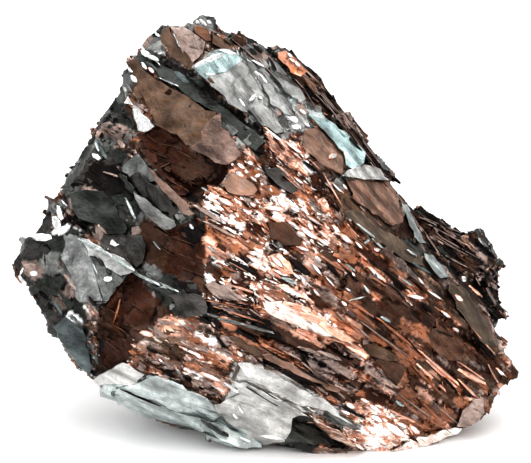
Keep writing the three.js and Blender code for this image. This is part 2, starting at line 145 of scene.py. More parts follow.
# Mixes: glint and blush are painted highlights and shadow is painted shade in gaps and slots; the dark mixes
# of hollows and gaps (EMBERS, DARKS) are painted shade. A zone's sparkle is how many painted glints it gets.
COPPERY = {"copper": 0.44, "umber": 0.16, "blush": 0.10, "rose": 0.16, "ember": 0.10, "mauve": 0.04}
SUNLIT = {"copper": 0.30, "blush": 0.16, "glint": 0.11, "rose": 0.10, "umber": 0.13, "ember": 0.20}
DARK_RIM = {"shadow": 0.30, "umber": 0.24, "tan": 0.20, "rose": 0.20, "ember": 0.06}
LAYERED = {"shadow": 0.42, "umber": 0.26, "slate": 0.12, "rose": 0.10, "tan": 0.10}
PEPPERED = {"rose": 0.29, "tan": 0.20, "copper": 0.15, "glint": 0.05, "blush": 0.06, "bronze": 0.13,
            "umber": 0.12}
EMBERS = {"ember": 0.66, "umber": 0.22, "shadow": 0.12}
SLOTTED = {"shadow": 0.38, "copper": 0.24, "umber": 0.20, "rose": 0.13, "blush": 0.05}
SILVERY = {"silver": 0.54, "rose": 0.14, "pewter": 0.16, "frost": 0.12, "slate": 0.04}
GREYS = {"slate": 0.40, "dusk": 0.16, "pewter": 0.20, "shadow": 0.10, "rose": 0.07, "silver": 0.05,
         "glint": 0.02}
DARKS = {"shadow": 0.40, "slate": 0.52, "pewter": 0.08}
LUMPS = {"slate": 0.34, "dusk": 0.28, "pewter": 0.24, "shadow": 0.06, "glint": 0.03, "rose": 0.05}
FROSTED = {"frost": 0.70, "pearl": 0.30}
PALE = {"pearl": 0.8, "silver": 0.2}
KNOB = {"slate": 0.42, "umber": 0.10, "pewter": 0.32, "glint": 0.06, "shadow": 0.10}
FLATS = {"bronze": 0.22, "tan": 0.16, "mauve": 0.28, "umber": 0.10, "rose": 0.14, "pewter": 0.06,
         "copper": 0.04}
SPARKS = {"glint": 0.48, "blush": 0.36, "copper": 0.16}
DEEP_COPPER = {"copper": 0.27, "umber": 0.28, "ember": 0.20, "bronze": 0.10, "rose": 0.08, "blush": 0.07}

ZONES = [
    # striated field
    Zone("columns", 0.45, COPPERY, [
        (205, 190), (240, 160), (262, 130), (290, 130), (330, 150), (345, 180), (400, 250), (470, 300),
        (525, 365), (490, 400), (455, 436), (384, 455), (340, 410), (300, 380), (215, 330), (205, 300)]),
    # its dark lower right
    Zone("columns", 0.35, DEEP_COPPER, [
        (360, 300), (400, 296), (450, 306), (500, 352), (524, 374), (480, 396), (430, 400), (390, 376),
        (362, 340)]),
    # its sunlit middle
    Zone("grains", 0.8, SUNLIT, [
        (203, 192), (226, 172), (262, 196), (300, 200), (345, 238), (330, 262), (300, 252), (262, 248),
        (232, 232), (210, 226)]),
    Zone("grains", 0.8, SUNLIT, [
        (206, 262), (262, 250), (298, 262), (312, 296), (352, 342), (320, 334), (262, 312), (206, 298)]),
    Zone("grains", 0.7, SUNLIT, [
        (255, 126), (288, 128), (312, 156), (338, 190), (350, 216), (338, 226), (300, 202), (262, 197),
        (244, 168)]),
    # slotted band below it
    Zone("columns", 0.3, SLOTTED, [
        (206, 296), (262, 312), (330, 342), (372, 362), (345, 388), (300, 366), (255, 346), (210, 328)]),
    # lower striated strip
    Zone("grains", 0.6, PEPPERED, [
        (120, 372), (130, 340), (150, 322), (175, 315), (215, 325), (250, 352), (246, 374), (244, 420),
        (226, 408), (205, 398), (160, 374)]),
    # upper left, dark chips
    Zone("chips", 0.12, GREYS, [
        (98, 111), (120, 83), (118, 66), (135, 52), (150, 28), (160, 30), (165, 60), (135, 85), (124, 100),
        (139, 130), (143, 131), (118, 148), (84, 147), (95, 132)]),
    # upper left flank
    Zone("flakes", 0.12, GREYS, [
        (60, 190), (73, 150), (84, 145), (118, 148), (140, 150), (180, 200), (178, 230), (165, 230),
        (150, 245), (127, 249), (110, 245), (84, 234), (56, 215)]),
    # left lumps
    Zone("lumps", 0.15, LUMPS, [
        (8, 250), (30, 230), (56, 205), (72, 234), (57, 262), (80, 300), (92, 330), (90, 376), (50, 335),
        (30, 300)]),
    # under the silver kite
    Zone("bare", 0.1, SILVERY, [
        (62, 234), (80, 236), (109, 250), (137, 268), (120, 300), (80, 304), (62, 262)]),
    # dark brown hollow on the left
    Zone("flakes", 0.03, EMBERS, [
        (98, 372), (95, 330), (100, 312), (118, 290), (135, 270), (165, 300), (150, 330), (135, 345),
        (128, 366)]),
    # brown hollow in the middle
    Zone("flakes", 0.03, EMBERS, [
        (143, 215), (165, 230), (205, 222), (208, 290), (185, 284), (160, 268), (140, 262)]),
    # slate band
    Zone("flakes", 0.12, GREYS, [(135, 266), (160, 268), (206, 290), (208, 314), (182, 318), (150, 290)]),
    # top knob
    Zone("chips", 0.3, KNOB, [
        (150, 30), (182, 14), (193, 6), (220, 8), (232, 30), (262, 35), (288, 45), (276, 52), (240, 45),
        (222, 32), (182, 32)]),
    # silver slope
    Zone("flakes", 0.2, SILVERY, [
        (190, 67), (212, 46), (240, 46), (262, 42), (280, 60), (320, 100), (330, 122), (300, 132),
        (285, 138), (255, 122), (225, 97)]),
    # dark band
    Zone("flakes", 0.02, DARKS, [
        (140, 44), (165, 56), (190, 70), (215, 92), (250, 122), (268, 136), (262, 160), (240, 140),
        (215, 110), (185, 95), (160, 80), (138, 62)]),
    # brown hollow under the bronze blade
    Zone("flakes", 0.03, EMBERS, [
        (138, 134), (155, 128), (171, 129), (200, 152), (232, 165), (222, 186), (208, 190), (197, 202),
        (178, 198), (150, 162)]),
    # upper right flank
    Zone("fibres", 0.2, DARK_RIM, [
        (288, 46), (330, 84), (360, 128), (404, 194), (420, 216), (400, 215), (350, 160), (325, 118),
        (300, 86), (276, 56)]),
    # brown flats on the right
    Zone("flakes", 0.12, FLATS, [
        (300, 130), (350, 150), (388, 180), (408, 222), (440, 262), (480, 306), (505, 352), (486, 352),
        (430, 290), (385, 252), (342, 212), (330, 190), (310, 158)]),
    # rear step
    Zone("fibres", 0.2, LAYERED, [
        (404, 200), (435, 208), (475, 228), (505, 268), (508, 330), (486, 312), (448, 270), (418, 238)]),
    # bright foot of the columns, thick with painted glints
    Zone("grains", 1.0, SPARKS, [
        (338, 404), (372, 398), (404, 420), (412, 446), (384, 455), (352, 448), (342, 430)]),
    # pale foot
    Zone("bare", 0.1, PALE, [
        (222, 400), (237, 361), (260, 364), (300, 382), (345, 412), (300, 412), (292, 440), (262, 447),
        (240, 428)]),
    Zone("bare", 0.1, FROSTED, [
        (95, 385), (118, 382), (150, 376), (176, 380), (205, 394), (226, 416), (245, 425), (262, 446),
        (240, 452), (203, 440), (147, 428), (95, 402)]),
    # dark gap in the foot
    Zone("bare", 0.02, DARKS, [(279, 414), (300, 412), (350, 447), (300, 446)]),
]

# Hidden sides take turns between these, by a slow noise.
WARM_BACK = {"umber": 0.24, "bronze": 0.16, "copper": 0.22, "rose": 0.14, "mauve": 0.10, "ember": 0.08,
             "blush": 0.06}
GREY_BACK = {"pewter": 0.26, "dusk": 0.18, "slate": 0.20, "silver": 0.14, "rose": 0.12, "umber": 0.06,
             "glint": 0.04}
HIDDEN_ZONES = [
    Zone("columns", 0.45, WARM_BACK, []),
    Zone("columns", 0.2, GREY_BACK, []),
    Zone("grains", 0.6, PEPPERED, []),
    Zone("flakes", 0.15, GREY_BACK, []),
]
ZONE_TABLE = ZONES + HIDDEN_ZONES
HIDDEN_PATCH = 18.0  # how broad a hidden patch of one kind is
HIDDEN_LEVELS = np.array((-0.16, 0.04, 0.22))  # heights of the noise at which one kind follows another
BORDER_PATCH, BORDER_SHIFT = 1.3, 0.45  # how a border between zones wavers
FACES_FRONT = -0.45  # a surface turned further than this towards the front takes its zone from there
# Where in the slow noise each use of it starts, and how that start is spread over the three directions.
BORDER_START, HIDDEN_START, EDGE_START = (11.0, 16.0), 3.0, (51.0, 56.0, 61.0)
LIGHTNESS_START, SHADING_START = 40.0, 70.0
START_SPREAD = (1.0, 0.37, 1.7)


def slow_noise(points, size, start):
    """A smooth noise from about -1 to 1 that changes over that many millimetres."""
    shift = Vector([spread * start for spread in START_SPREAD])
    return np.array([noise.noise(Vector(p) / size + shift) for p in points])


def zones_at(points, normals):
    """The number of each point's zone in ZONE_TABLE."""
    spots = face_spots(points)
    wavering = np.column_stack([slow_noise(points, BORDER_PATCH, start) for start in BORDER_START])
    spots = spots[:, :2] + BORDER_SHIFT * wavering
    patches = slow_noise(points, HIDDEN_PATCH, HIDDEN_START)
    found = len(ZONES) + np.searchsorted(HIDDEN_LEVELS, patches)
    to_front = normals @ OUT > FACES_FRONT
    for number, zone in enumerate(ZONES):
        found[to_front & inside(across_up(zone.outline), spots)] = number
    return found


def grain_places(points):
    """Places along the grain, to its side and outwards."""
    along = grain_at(points)
    side = unit(np.cross(OUT, along))
    return np.column_stack([(points * along).sum(1), (points * side).sum(1), points @ OUT])


# The broken surface between the crystals is made of cells. Each has its own height, tilt and finish.
Cells = namedtuple("Cells", "spacing step tilt")
CELLS = {
    "columns": Cells((5.0, 0.75, 0.75), 0.26, 0.16),
    "fibres": Cells((5.0, 0.45, 0.45), 0.2, 0.12),
    "grains": Cells((2.0, 0.75, 0.75), 0.3, 0.2),
    "flakes": Cells((3.2, 1.8, 1.8), 0.28, 0.14),
    "chips": Cells((1.7, 1.2, 1.2), 0.34, 0.22),
    "lumps": Cells((1.7, 1.2, 1.2), 0.34, 0.22),
    "bare": Cells((6.0, 3.0, 3.0), 0.10, 0.05),
}
# The sine of a cell's middle, spread and scaled, leaves four fractions that look random.
SPREAD = np.array(((12.99, 39.35, 73.16, 93.99), (78.23, 11.13, 52.24, 67.35), (37.72, 83.16, 9.15, 27.17)))
SPREAD_SCALE = 437.58
DEEPEST = 0.6
CALMER_ALONG = 3  # cells tilt less along the grain than across it, by this factor


def cells_at(points, zones):
    """For each point four random shares of its cell, and how far the point is from the cell's middle."""
    cells = [CELLS[zone.coat] for zone in ZONE_TABLE]
    spacing = np.array([cell.spacing for cell in cells])[zones]
    places = grain_places(points) / spacing
    middles = np.array([noise.voronoi(place)[1][0] for place in places])
    shares = np.modf(np.abs(np.sin(middles @ SPREAD)) * SPREAD_SCALE)[0]
    return shares, (places - middles) * spacing


def depths_at(points, zones):
    """How deep the broken surface lies at each point."""
    shares, away = cells_at(points, zones)
    steps, tilts = np.array([CELLS[zone.coat][1:] for zone in ZONE_TABLE])[zones].T
    slopes = (shares[:, 1:3] * 2 - 1) * tilts[:, None]
    depths = steps * shares[:, 0] + slopes[:, 0] * away[:, 0] / CALMER_ALONG + slopes[:, 1] * away[:, 1]
    return np.clip(depths, 0, DEEPEST)


# ---------------------------------------------------------------------------------------------------------
# Large cleavage faces of the show face. raised is how far a face stands above what is under it.
Plate = namedtuple("Plate", "finish raised outline")
PLATES = [
    # brown strip, upper left
    Plate("bronze", 0.15, [
        (161, 28), (170, 26), (177, 43), (189, 57), (194, 70), (188, 70), (181, 62), (169, 56),
        (161, 43)]),
    # pink grey plate
    Plate("rose", 0.25, [
        (170, 26), (182, 25), (194, 33), (206, 42), (203, 52), (192, 63), (183, 53), (177, 40)]),
    # crown crystals
    Plate("rust", 0.2, [(193, 25), (208, 29), (212, 41), (206, 41), (195, 32)]),
    Plate("bronze", 0.2, [(211, 31), (222, 38), (237, 51), (224, 49), (212, 43)]),
    # upper bronze blade
    Plate("bronze", 0.15, [
        (125, 61), (136, 57), (148, 74), (182, 94), (206, 111), (217, 113), (222, 140), (214, 156),
        (198, 152), (177, 135), (157, 126), (151, 112), (143, 97), (131, 77)]),
    # arrow plate
    Plate("mauve", 0.35, [
        (221, 114), (222, 128), (235, 142), (242, 155), (234, 162), (226, 166), (215, 163), (198, 153),
        (190, 148), (202, 142), (202, 132), (210, 121)]),
    # white wedge and its spur, a painted highlight
    Plate("glint", 0.3, [
        (132, 104), (138, 107), (148, 118), (156, 127), (145, 133), (138, 131), (134, 119)]),
    Plate("glint", 0.3, [(124, 103), (128, 96), (133, 105)]),
    # silver plate
    Plate("silver", 0.3, [
        (194, 69), (202, 60), (212, 51), (222, 49), (236, 52), (248, 67), (257, 81), (264, 96), (262, 108),
        (252, 110), (247, 114), (234, 107), (212, 87)]),
    Plate("ice", 0.45, [
        (196, 68), (204, 61), (213, 53), (222, 49), (236, 52), (243, 60), (234, 66), (226, 72), (216, 74),
        (206, 80)]),
    Plate("silver", 0.3, [
        (248, 110), (262, 103), (273, 111), (279, 122), (286, 132), (276, 134), (262, 126)]),
    Plate("silver", 0.2, [(262, 84), (274, 88), (292, 104), (296, 116), (284, 114), (270, 104)]),
    Plate("silver", 0.2, [(268, 58), (278, 62), (298, 84), (306, 100), (298, 104), (284, 90), (272, 74)]),
    # dark band
    Plate("slate", -0.1, [
        (150, 58), (170, 68), (190, 78), (208, 94), (232, 114), (250, 128), (264, 143), (256, 152),
        (240, 140), (228, 128), (217, 114), (205, 108), (182, 92), (160, 78)]),
    # pale flake in the dark band
    Plate("silver", 0.3, [(222, 126), (229, 125), (237, 127), (240, 132), (233, 137), (226, 133)]),
    # orange crystal of the upper edge
    Plate("coral", 0.3, [
        (278, 51), (286, 50), (298, 60), (307, 71), (301, 76), (291, 72), (283, 62), (278, 57)]),
    # pale flank facet
    Plate("ice", 0.35, [
        (308, 114), (321, 118), (335, 124), (351, 138), (366, 153), (364, 163), (353, 170), (346, 165),
        (343, 152), (334, 141), (320, 127)]),
    # pale wedge under it
    Plate("pearl", 0.3, [
        (342, 176), (348, 170), (366, 164), (381, 169), (390, 180), (374, 179), (358, 178)]),
    # brown flank facets
    Plate("tan", 0.15, [
        (304, 130), (317, 128), (332, 141), (344, 157), (342, 175), (327, 168), (314, 157), (303, 147)]),
    Plate("tan", 0.15, [
        (346, 180), (366, 180), (388, 181), (397, 198), (403, 222), (392, 226), (372, 214), (352, 198)]),
    Plate("olive", 0.2, [
        (343, 212), (352, 210), (372, 222), (396, 238), (418, 254), (424, 266), (408, 262), (388, 248),
        (364, 234)]),
    Plate("olive", 0.2, [
        (449, 284), (464, 288), (476, 304), (485, 324), (497, 346), (484, 344), (470, 326), (456, 308)]),
    Plate("rust", 0.15, [
        (424, 330), (440, 326), (458, 334), (466, 348), (460, 360), (444, 358), (430, 346)]),
    Plate("bronze", 0.15, [(361, 344), (374, 343), (390, 350), (398, 360), (384, 360), (368, 354)]),
    Plate("umber", 0.2, [(374, 358), (392, 360), (403, 364), (402, 374), (396, 384), (386, 376)]),
    # pale blade beside the rear step
    Plate("frost", 0.3, [(424, 253), (433, 256), (444, 267), (449, 277), (440, 278), (431, 267)]),
    Plate("frost", 0.3, [(402, 203), (408, 204), (414, 220), (427, 243), (420, 243), (410, 226)]),
    # slate face
    Plate("slate", 0.2, [
        (67, 194), (86, 190), (104, 191), (112, 198), (118, 210), (126, 221), (127, 233), (109, 234),
        (96, 224), (80, 219)]),
    # grey columns
    Plate("pewter", 0.2, [
        (119, 171), (130, 160), (140, 154), (149, 168), (160, 180), (150, 184), (134, 180)]),
    Plate("dusk", 0.3, [
        (128, 178), (140, 172), (156, 186), (172, 200), (179, 212), (172, 218), (158, 206), (142, 194)]),
    Plate("pewter", 0.3, [
        (134, 192), (146, 198), (160, 210), (176, 220), (177, 226), (165, 230), (152, 220), (140, 206)]),
    # slim blade
    Plate("mauve", 0.35, [
        (147, 166), (155, 172), (168, 184), (182, 198), (196, 214), (190, 216), (178, 206), (160, 187)]),
    # silver kite
    Plate("silver", 0.3, [
        (70, 234), (82, 238), (90, 256), (98, 280), (104, 300), (94, 300), (80, 300), (76, 280),
        (62, 258)]),
    Plate("pewter", 0.25, [
        (90, 256), (98, 258), (108, 268), (122, 276), (126, 279), (115, 288), (110, 300), (104, 300),
        (98, 280)]),
    Plate("pearl", 0.4, [
        (82, 238), (101, 246), (109, 253), (125, 258), (137, 270), (122, 275), (108, 267), (96, 256),
        (90, 256)]),
    # dark oval
    Plate("dusk", 0.2, [(127, 234), (143, 234), (148, 245), (144, 262), (138, 268), (128, 254)]),
    # teal facet
    Plate("teal", 0.2, [(54, 326), (66, 316), (84, 330), (90, 352), (90, 374), (78, 364), (66, 347)]),
    # slate bands
    Plate("dusk", 0.15, [(170, 294), (184, 288), (206, 298), (208, 312), (190, 316), (178, 308)]),
    # warm plates of the field
    Plate("tan", 0.25, [
        (222, 183), (232, 172), (248, 180), (258, 190), (254, 196), (240, 196), (228, 192)]),
    Plate("blush", 0.25, [(268, 256), (280, 252), (290, 262), (293, 274), (282, 274), (272, 266)]),
    Plate("umber", 0.2, [(268, 222), (284, 222), (302, 238), (300, 246), (284, 246), (270, 238)]),
    # broad bright blade, a painted highlight
    Plate("rose", 0.3, [(205, 284), (214, 280), (232, 288), (246, 296), (236, 300), (214, 294)]),
    Plate("dawn", 0.4, [
        (262, 300), (280, 300), (300, 306), (318, 316), (336, 328), (352, 343), (336, 338), (310, 330),
        (286, 320), (266, 310)]),
    # humps beside the hollow
    Plate("dusk", 0.25, [(264, 168), (276, 168), (288, 177), (298, 190), (292, 194), (276, 184)]),
    # long tan bars of the lower strip
    Plate("bronze", 0.35, [(228, 333), (238, 335), (262, 350), (266, 358), (256, 354), (238, 344)]),
    Plate("tan", 0.4, [
        (262, 352), (270, 352), (300, 366), (340, 387), (338, 391), (300, 374), (266, 357)]),
    # foot, left end
    Plate("pearl", 0.2, [
        (94, 379), (108, 370), (124, 361), (136, 368), (146, 373), (136, 384), (116, 382), (100, 384)]),
    # pale foot face
    Plate("frost", 0.25, [
        (117, 388), (133, 382), (146, 377), (158, 374), (173, 379), (196, 390), (212, 400), (222, 414),
        (212, 420), (195, 418), (170, 408), (150, 401), (118, 393)]),
    # rim of the foot
    Plate("frost", 0.15, [
        (112, 392), (135, 397), (160, 403), (183, 412), (206, 418), (224, 424), (226, 440), (213, 435),
        (196, 428), (173, 421), (150, 417), (118, 404)]),
    Plate("frost", 0.1, [
        (212, 420), (226, 424), (246, 433), (262, 442), (262, 446), (246, 447), (228, 441), (216, 434)]),
    # foot plates
    Plate("pearl", 0.35, [
        (238, 361), (250, 361), (262, 366), (296, 383), (320, 395), (338, 409), (339, 416), (319, 407),
        (302, 404), (272, 390), (246, 373)]),
    Plate("pearl", 0.2, [
        (232, 378), (246, 380), (262, 388), (292, 404), (307, 414), (292, 416), (290, 430), (284, 440),
        (264, 444), (246, 432), (222, 414), (214, 402), (226, 398), (240, 392)]),
    Plate("pewter", 0.3, [(320, 404), (334, 410), (350, 420), (360, 428), (344, 424), (328, 414)]),
    Plate("blush", 0.3, [
        (309, 413), (322, 418), (342, 432), (360, 443), (350, 445), (332, 436), (316, 424)]),
    # shaded flat in the gap of the foot
    Plate("slate", -0.5, [(292, 416), (306, 423), (330, 436), (344, 446), (312, 444), (284, 438)]),
    # pale flank at the lower right
    Plate("rose", 0.15, [
        (456, 426), (462, 410), (474, 398), (482, 399), (484, 412), (478, 421), (466, 427)]),
    Plate("dawn", 0.15, [
        (390, 449), (406, 441), (430, 433), (454, 427), (462, 428), (446, 436), (426, 444), (404, 450)]),
]

# Single crystals of the show face that stand out, by finish, each as
# (from across, from down, to across, to down, width). The glint, frost and blush blades are painted
# highlights, and the shadow blades are painted shade in the gaps.
BLADES = {
    "glint": [
        # upper left
        (131, 76, 137, 83, 5), (142, 51, 149, 57, 6), (148, 56, 159, 60, 5), (142, 63, 146, 70, 5),
        (148, 68, 154, 73, 5), (126, 66, 134, 74, 2), (155, 32, 160, 36, 4), (189, 21, 194, 24, 4),
        (196, 20, 199, 23, 4), (207, 20, 211, 23, 4), (200, 19, 206, 25, 4), (140, 46, 144, 50, 3),
        # silver slope
        (196, 67, 209, 60, 5), (205, 62, 221, 55, 6), (220, 50, 236, 54, 4), (255, 71, 268, 82, 5),
        (253, 60, 266, 67, 3), (240, 100, 245, 107, 3), (249, 102, 256, 95, 4), (206, 75, 216, 75, 3),
        (284, 114, 300, 122, 8), (290, 126, 301, 128, 6), (298, 100, 309, 105, 6), (300, 110, 306, 114, 4),
        (304, 123, 310, 126, 3), (288, 53, 292, 57, 3), (295, 61, 300, 66, 4), (290, 58, 296, 62, 3),
        (258, 97, 262, 99, 3),
        # upper part of the field
        (264, 128, 284, 144, 4), (284, 141, 304, 155, 4), (328, 158, 336, 155, 6), (230, 162, 235, 168, 4),
        (236, 163, 246, 170, 5), (236, 172, 244, 178, 7), (254, 178, 260, 175, 4), (277, 165, 291, 177, 3),
        (293, 177, 303, 184, 3), (332, 183, 344, 194, 3), (343, 185, 347, 190, 3), (298, 150, 306, 160, 2),
        (203, 189, 211, 194, 3), (211, 198, 222, 206, 4), (219, 199, 233, 206, 6), (215, 205, 226, 212, 4),
        (234, 198, 240, 205, 3), (240, 197, 244, 201, 3), (250, 204, 257, 208, 4), (256, 201, 261, 205, 3),
        (240, 208, 257, 217, 4), (265, 208, 285, 210, 6), (277, 200, 285, 209, 4), (285, 198, 290, 202, 4),
        (296, 198, 302, 205, 4), (288, 206, 300, 212, 4), (303, 214, 323, 226, 3), (307, 223, 312, 231, 5),
        (286, 220, 302, 231, 5), (298, 226, 318, 240, 6), (317, 238, 329, 246, 4), (332, 226, 339, 233, 5),
        (339, 234, 351, 243, 6), (324, 226, 329, 229, 3), (349, 219, 352, 222, 3), (354, 242, 361, 249, 3),
        (373, 248, 380, 251, 5), (357, 252, 364, 258, 3), (294, 246, 308, 251, 4), (302, 241, 306, 245, 4),
        (311, 247, 318, 254, 5), (278, 249, 288, 254, 6), (248, 256, 266, 266, 6), (230, 254, 248, 264, 3),
        (292, 272, 301, 279, 4), (312, 264, 321, 275, 4), (324, 276, 335, 288, 2), (336, 259, 340, 263, 3),
        (351, 273, 354, 277, 3), (368, 267, 384, 281, 5), (344, 287, 350, 291, 2), (266, 273, 272, 277, 4),
        (272, 269, 290, 276, 5), (299, 284, 303, 288, 4), (313, 288, 319, 295, 4), (278, 285, 305, 297, 7),
        (233, 279, 238, 283, 3), (246, 280, 252, 284, 3), (257, 283, 261, 288, 4), (262, 292, 278, 303, 4),
        (264, 299, 278, 309, 4), (271, 256, 284, 268, 6), (305, 280, 313, 287, 2), (190, 224, 194, 229, 3),
        # right part of the field
        (406, 295, 424, 298, 5), (404, 298, 411, 304, 2), (454, 295, 462, 301, 5), (439, 310, 449, 317, 4),
        (462, 278, 468, 281, 6), (451, 328, 458, 332, 5), (418, 278, 424, 285, 3), (426, 290, 442, 300, 3),
        (340, 301, 345, 305, 4), (496, 368, 506, 378, 4), (470, 374, 482, 381, 4),
        # lower strip
        (143, 331, 155, 334, 6), (180, 345, 204, 356, 3), (194, 351, 204, 357, 5), (202, 371, 223, 380, 5),
        (224, 380, 239, 390, 4), (176, 365, 182, 372, 4), (160, 356, 165, 360, 3), (237, 349, 243, 355, 4),
        (233, 411, 238, 417, 4), (238, 404, 243, 411, 3), (88, 359, 95, 370, 3), (264, 388, 307, 414, 1),
        (262, 434, 282, 437, 4), (240, 436, 252, 441, 3), (306, 404, 314, 409, 3),
        # bright foot of the columns
        (343, 400, 354, 406, 6), (339, 408, 349, 412, 4), (366, 401, 382, 412, 5), (368, 413, 382, 420, 7),
        (360, 422, 386, 436, 8), (379, 419, 406, 437, 10), (395, 421, 406, 426, 5),
        (408, 424, 418, 432, 6), (336, 430, 362, 443, 6), (352, 440, 362, 447, 4), (346, 436, 356, 441, 5),
        # left end
        (32, 237, 51, 238, 9), (58, 207, 62, 220, 7), (54, 218, 60, 230, 9), (53, 234, 62, 229, 7),
        (60, 234, 71, 225, 8), (31, 274, 38, 274, 6), (20, 276, 28, 285, 4), (21, 275, 24, 268, 3),
        (60, 187, 64, 193, 3), (62, 201, 68, 207, 2), (106, 279, 114, 279, 6),
    ],
    "frost": [
        (80, 239, 103, 251, 4), (102, 250, 116, 258, 4), (114, 257, 136, 270, 4), (86, 250, 100, 276, 3),
        (126, 198, 137, 220, 4), (209, 246, 215, 252, 3), (212, 256, 217, 259, 3), (356, 224, 373, 237, 3),
        (371, 238, 383, 249, 3), (363, 244, 368, 239, 4), (345, 264, 355, 271, 3), (282, 277, 296, 283, 5),
        (348, 300, 364, 296, 2), (362, 285, 368, 293, 3), (394, 273, 418, 290, 3), (406, 250, 415, 256, 3),
        (380, 316, 389, 321, 4), (247, 373, 250, 381, 3), (394, 399, 402, 404, 4), (322, 405, 357, 426, 3),
        (95, 142, 99, 152, 3), (135, 272, 160, 284, 4), (160, 282, 180, 291, 3), (147, 52, 160, 66, 2),
        (155, 242, 162, 250, 2), (176, 73, 190, 84, 2), (160, 78, 178, 86, 2),
    ],
    "teal": [
        (176, 72, 189, 84, 9), (146, 62, 156, 70, 5), (50, 210, 58, 214, 4), (410, 262, 432, 275, 4),
        (52, 300, 64, 316, 5), (96, 142, 106, 158, 6),
    ],
    "blush": [
        (211, 200, 224, 210, 2), (246, 214, 260, 224, 4), (277, 213, 288, 217, 4), (268, 217, 286, 225, 3),
        (333, 214, 349, 226, 2), (347, 224, 358, 236, 2), (248, 264, 266, 272, 2), (230, 262, 248, 272, 1),
        (304, 154, 322, 172, 2), (322, 172, 340, 204, 2), (222, 282, 262, 294, 3), (296, 312, 325, 321, 8),
        (318, 322, 350, 340, 9), (282, 302, 310, 310, 8), (262, 310, 300, 326, 2), (300, 326, 352, 345, 2),
        (454, 359, 489, 383, 2), (456, 368, 484, 383, 6), (456, 377, 484, 404, 3), (418, 349, 456, 382, 4),
        (424, 358, 456, 387, 4), (414, 362, 444, 390, 4), (471, 328, 494, 354, 2), (470, 286, 484, 298, 4),
        (357, 252, 366, 260, 2), (376, 402, 435, 431, 3), (488, 364, 498, 382, 2), (300, 284, 306, 292, 2),
        (284, 176, 300, 190, 1), (298, 168, 306, 176, 2),
    ],
    "copper": [
        (211, 300, 254, 309, 2), (214, 306, 262, 322, 2), (222, 196, 232, 200, 3), (306, 246, 330, 262, 4),
        (320, 256, 345, 272, 4), (372, 277, 402, 296, 2), (377, 318, 409, 344, 4), (412, 366, 440, 394, 3),
        (370, 330, 392, 346, 3), (350, 300, 372, 316, 4), (338, 262, 352, 272, 3), (262, 222, 270, 232, 2),
        (255, 232, 268, 246, 3), (212, 226, 240, 240, 4), (236, 236, 252, 248, 4), (218, 262, 236, 272, 3),
        (420, 400, 440, 420, 4), (392, 346, 412, 362, 3), (115, 322, 122, 298, 3),
    ],
    "rose": [
        (193, 205, 222, 222, 5), (205, 222, 236, 238, 4), (213, 226, 240, 240, 2), (296, 345, 320, 352, 5),
        (318, 350, 340, 358, 5), (280, 348, 301, 359, 3), (301, 360, 344, 396, 3), (333, 383, 352, 391, 4),
        (361, 321, 409, 356, 2), (357, 327, 368, 337, 3), (336, 312, 345, 321, 3), (344, 347, 363, 359, 4),
        (395, 391, 450, 432, 2), (430, 399, 458, 424, 2), (424, 217, 462, 232, 1), (430, 224, 470, 246, 1),
        (430, 232, 462, 252, 1), (440, 240, 476, 258, 1), (444, 254, 468, 267, 2), (420, 222, 440, 254, 2),
        (483, 279, 500, 310, 2), (282, 66, 294, 77, 1), (293, 76, 305, 89, 1), (305, 89, 316, 107, 1),
        (266, 85, 298, 115, 1), (299, 62, 326, 89, 2), (337, 110, 357, 132, 1), (363, 140, 380, 162, 1),
        (141, 208, 164, 229, 1), (73, 221, 88, 233, 1), (99, 225, 108, 234, 4), (60, 268, 78, 290, 5),
        (103, 173, 119, 178, 3), (315, 384, 326, 392, 4), (414, 214, 478, 243, 1), (420, 220, 482, 252, 1),
        (426, 228, 486, 262, 1), (306, 82, 340, 118, 1), (312, 84, 346, 122, 1), (318, 86, 352, 128, 1),
        (322, 96, 350, 134, 1), (360, 148, 386, 184, 1), (352, 134, 376, 166, 1), (118, 141, 125, 148, 6),
        (125, 152, 137, 160, 4), (116, 164, 121, 172, 3), (132, 150, 140, 155, 4), (128, 86, 140, 104, 1),
        (230, 37, 246, 50, 1), (240, 45, 262, 64, 1), (252, 52, 284, 86, 1),
    ],
    "shadow": [
        (249, 149, 273, 155, 6), (304, 162, 319, 174, 4), (317, 172, 332, 196, 4), (331, 204, 341, 214, 3),
        (262, 166, 269, 177, 5), (211, 210, 222, 216, 2), (242, 201, 249, 208, 3), (291, 260, 310, 275, 8),
        (325, 261, 339, 276, 4), (230, 260, 260, 275, 5), (211, 296, 260, 308, 2), (212, 312, 261, 321, 2),
        (422, 240, 436, 253, 4), (473, 336, 494, 358, 6), (343, 405, 363, 416, 4), (280, 366, 315, 384, 5),
        (261, 345, 329, 383, 3), (239, 331, 259, 341, 6), (267, 360, 315, 389, 5), (125, 389, 160, 404, 3),
        (193, 220, 206, 232, 3), (384, 272, 404, 292, 3), (388, 284, 404, 300, 4), (420, 302, 432, 312, 5),
        (366, 258, 376, 266, 3), (324, 88, 336, 100, 3), (350, 137, 370, 162, 3), (404, 336, 418, 352, 2),
        (436, 330, 452, 336, 2), (300, 352, 312, 372, 4), (344, 268, 356, 280, 3), (240, 252, 246, 262, 2),
        (254, 44, 262, 52, 4), (268, 56, 276, 68, 3), (444, 378, 456, 392, 3), (462, 390, 470, 396, 4),
        (90, 296, 98, 306, 4), (40, 292, 48, 300, 5), (216, 334, 226, 346, 3), (148, 346, 158, 352, 3),
        (160, 366, 176, 376, 4), (186, 376, 204, 388, 3),
    ],
    "rust": [
        # ridges of the hollows
        (146, 134, 158, 144, 1), (158, 144, 182, 148, 1), (150, 150, 168, 158, 1), (160, 168, 172, 162, 1),
        (172, 162, 186, 168, 1), (166, 178, 190, 192, 1), (186, 160, 206, 168, 1), (196, 170, 212, 182, 1),
        (176, 150, 196, 160, 1), (180, 176, 200, 186, 1), (156, 228, 176, 240, 1), (170, 236, 198, 246, 1),
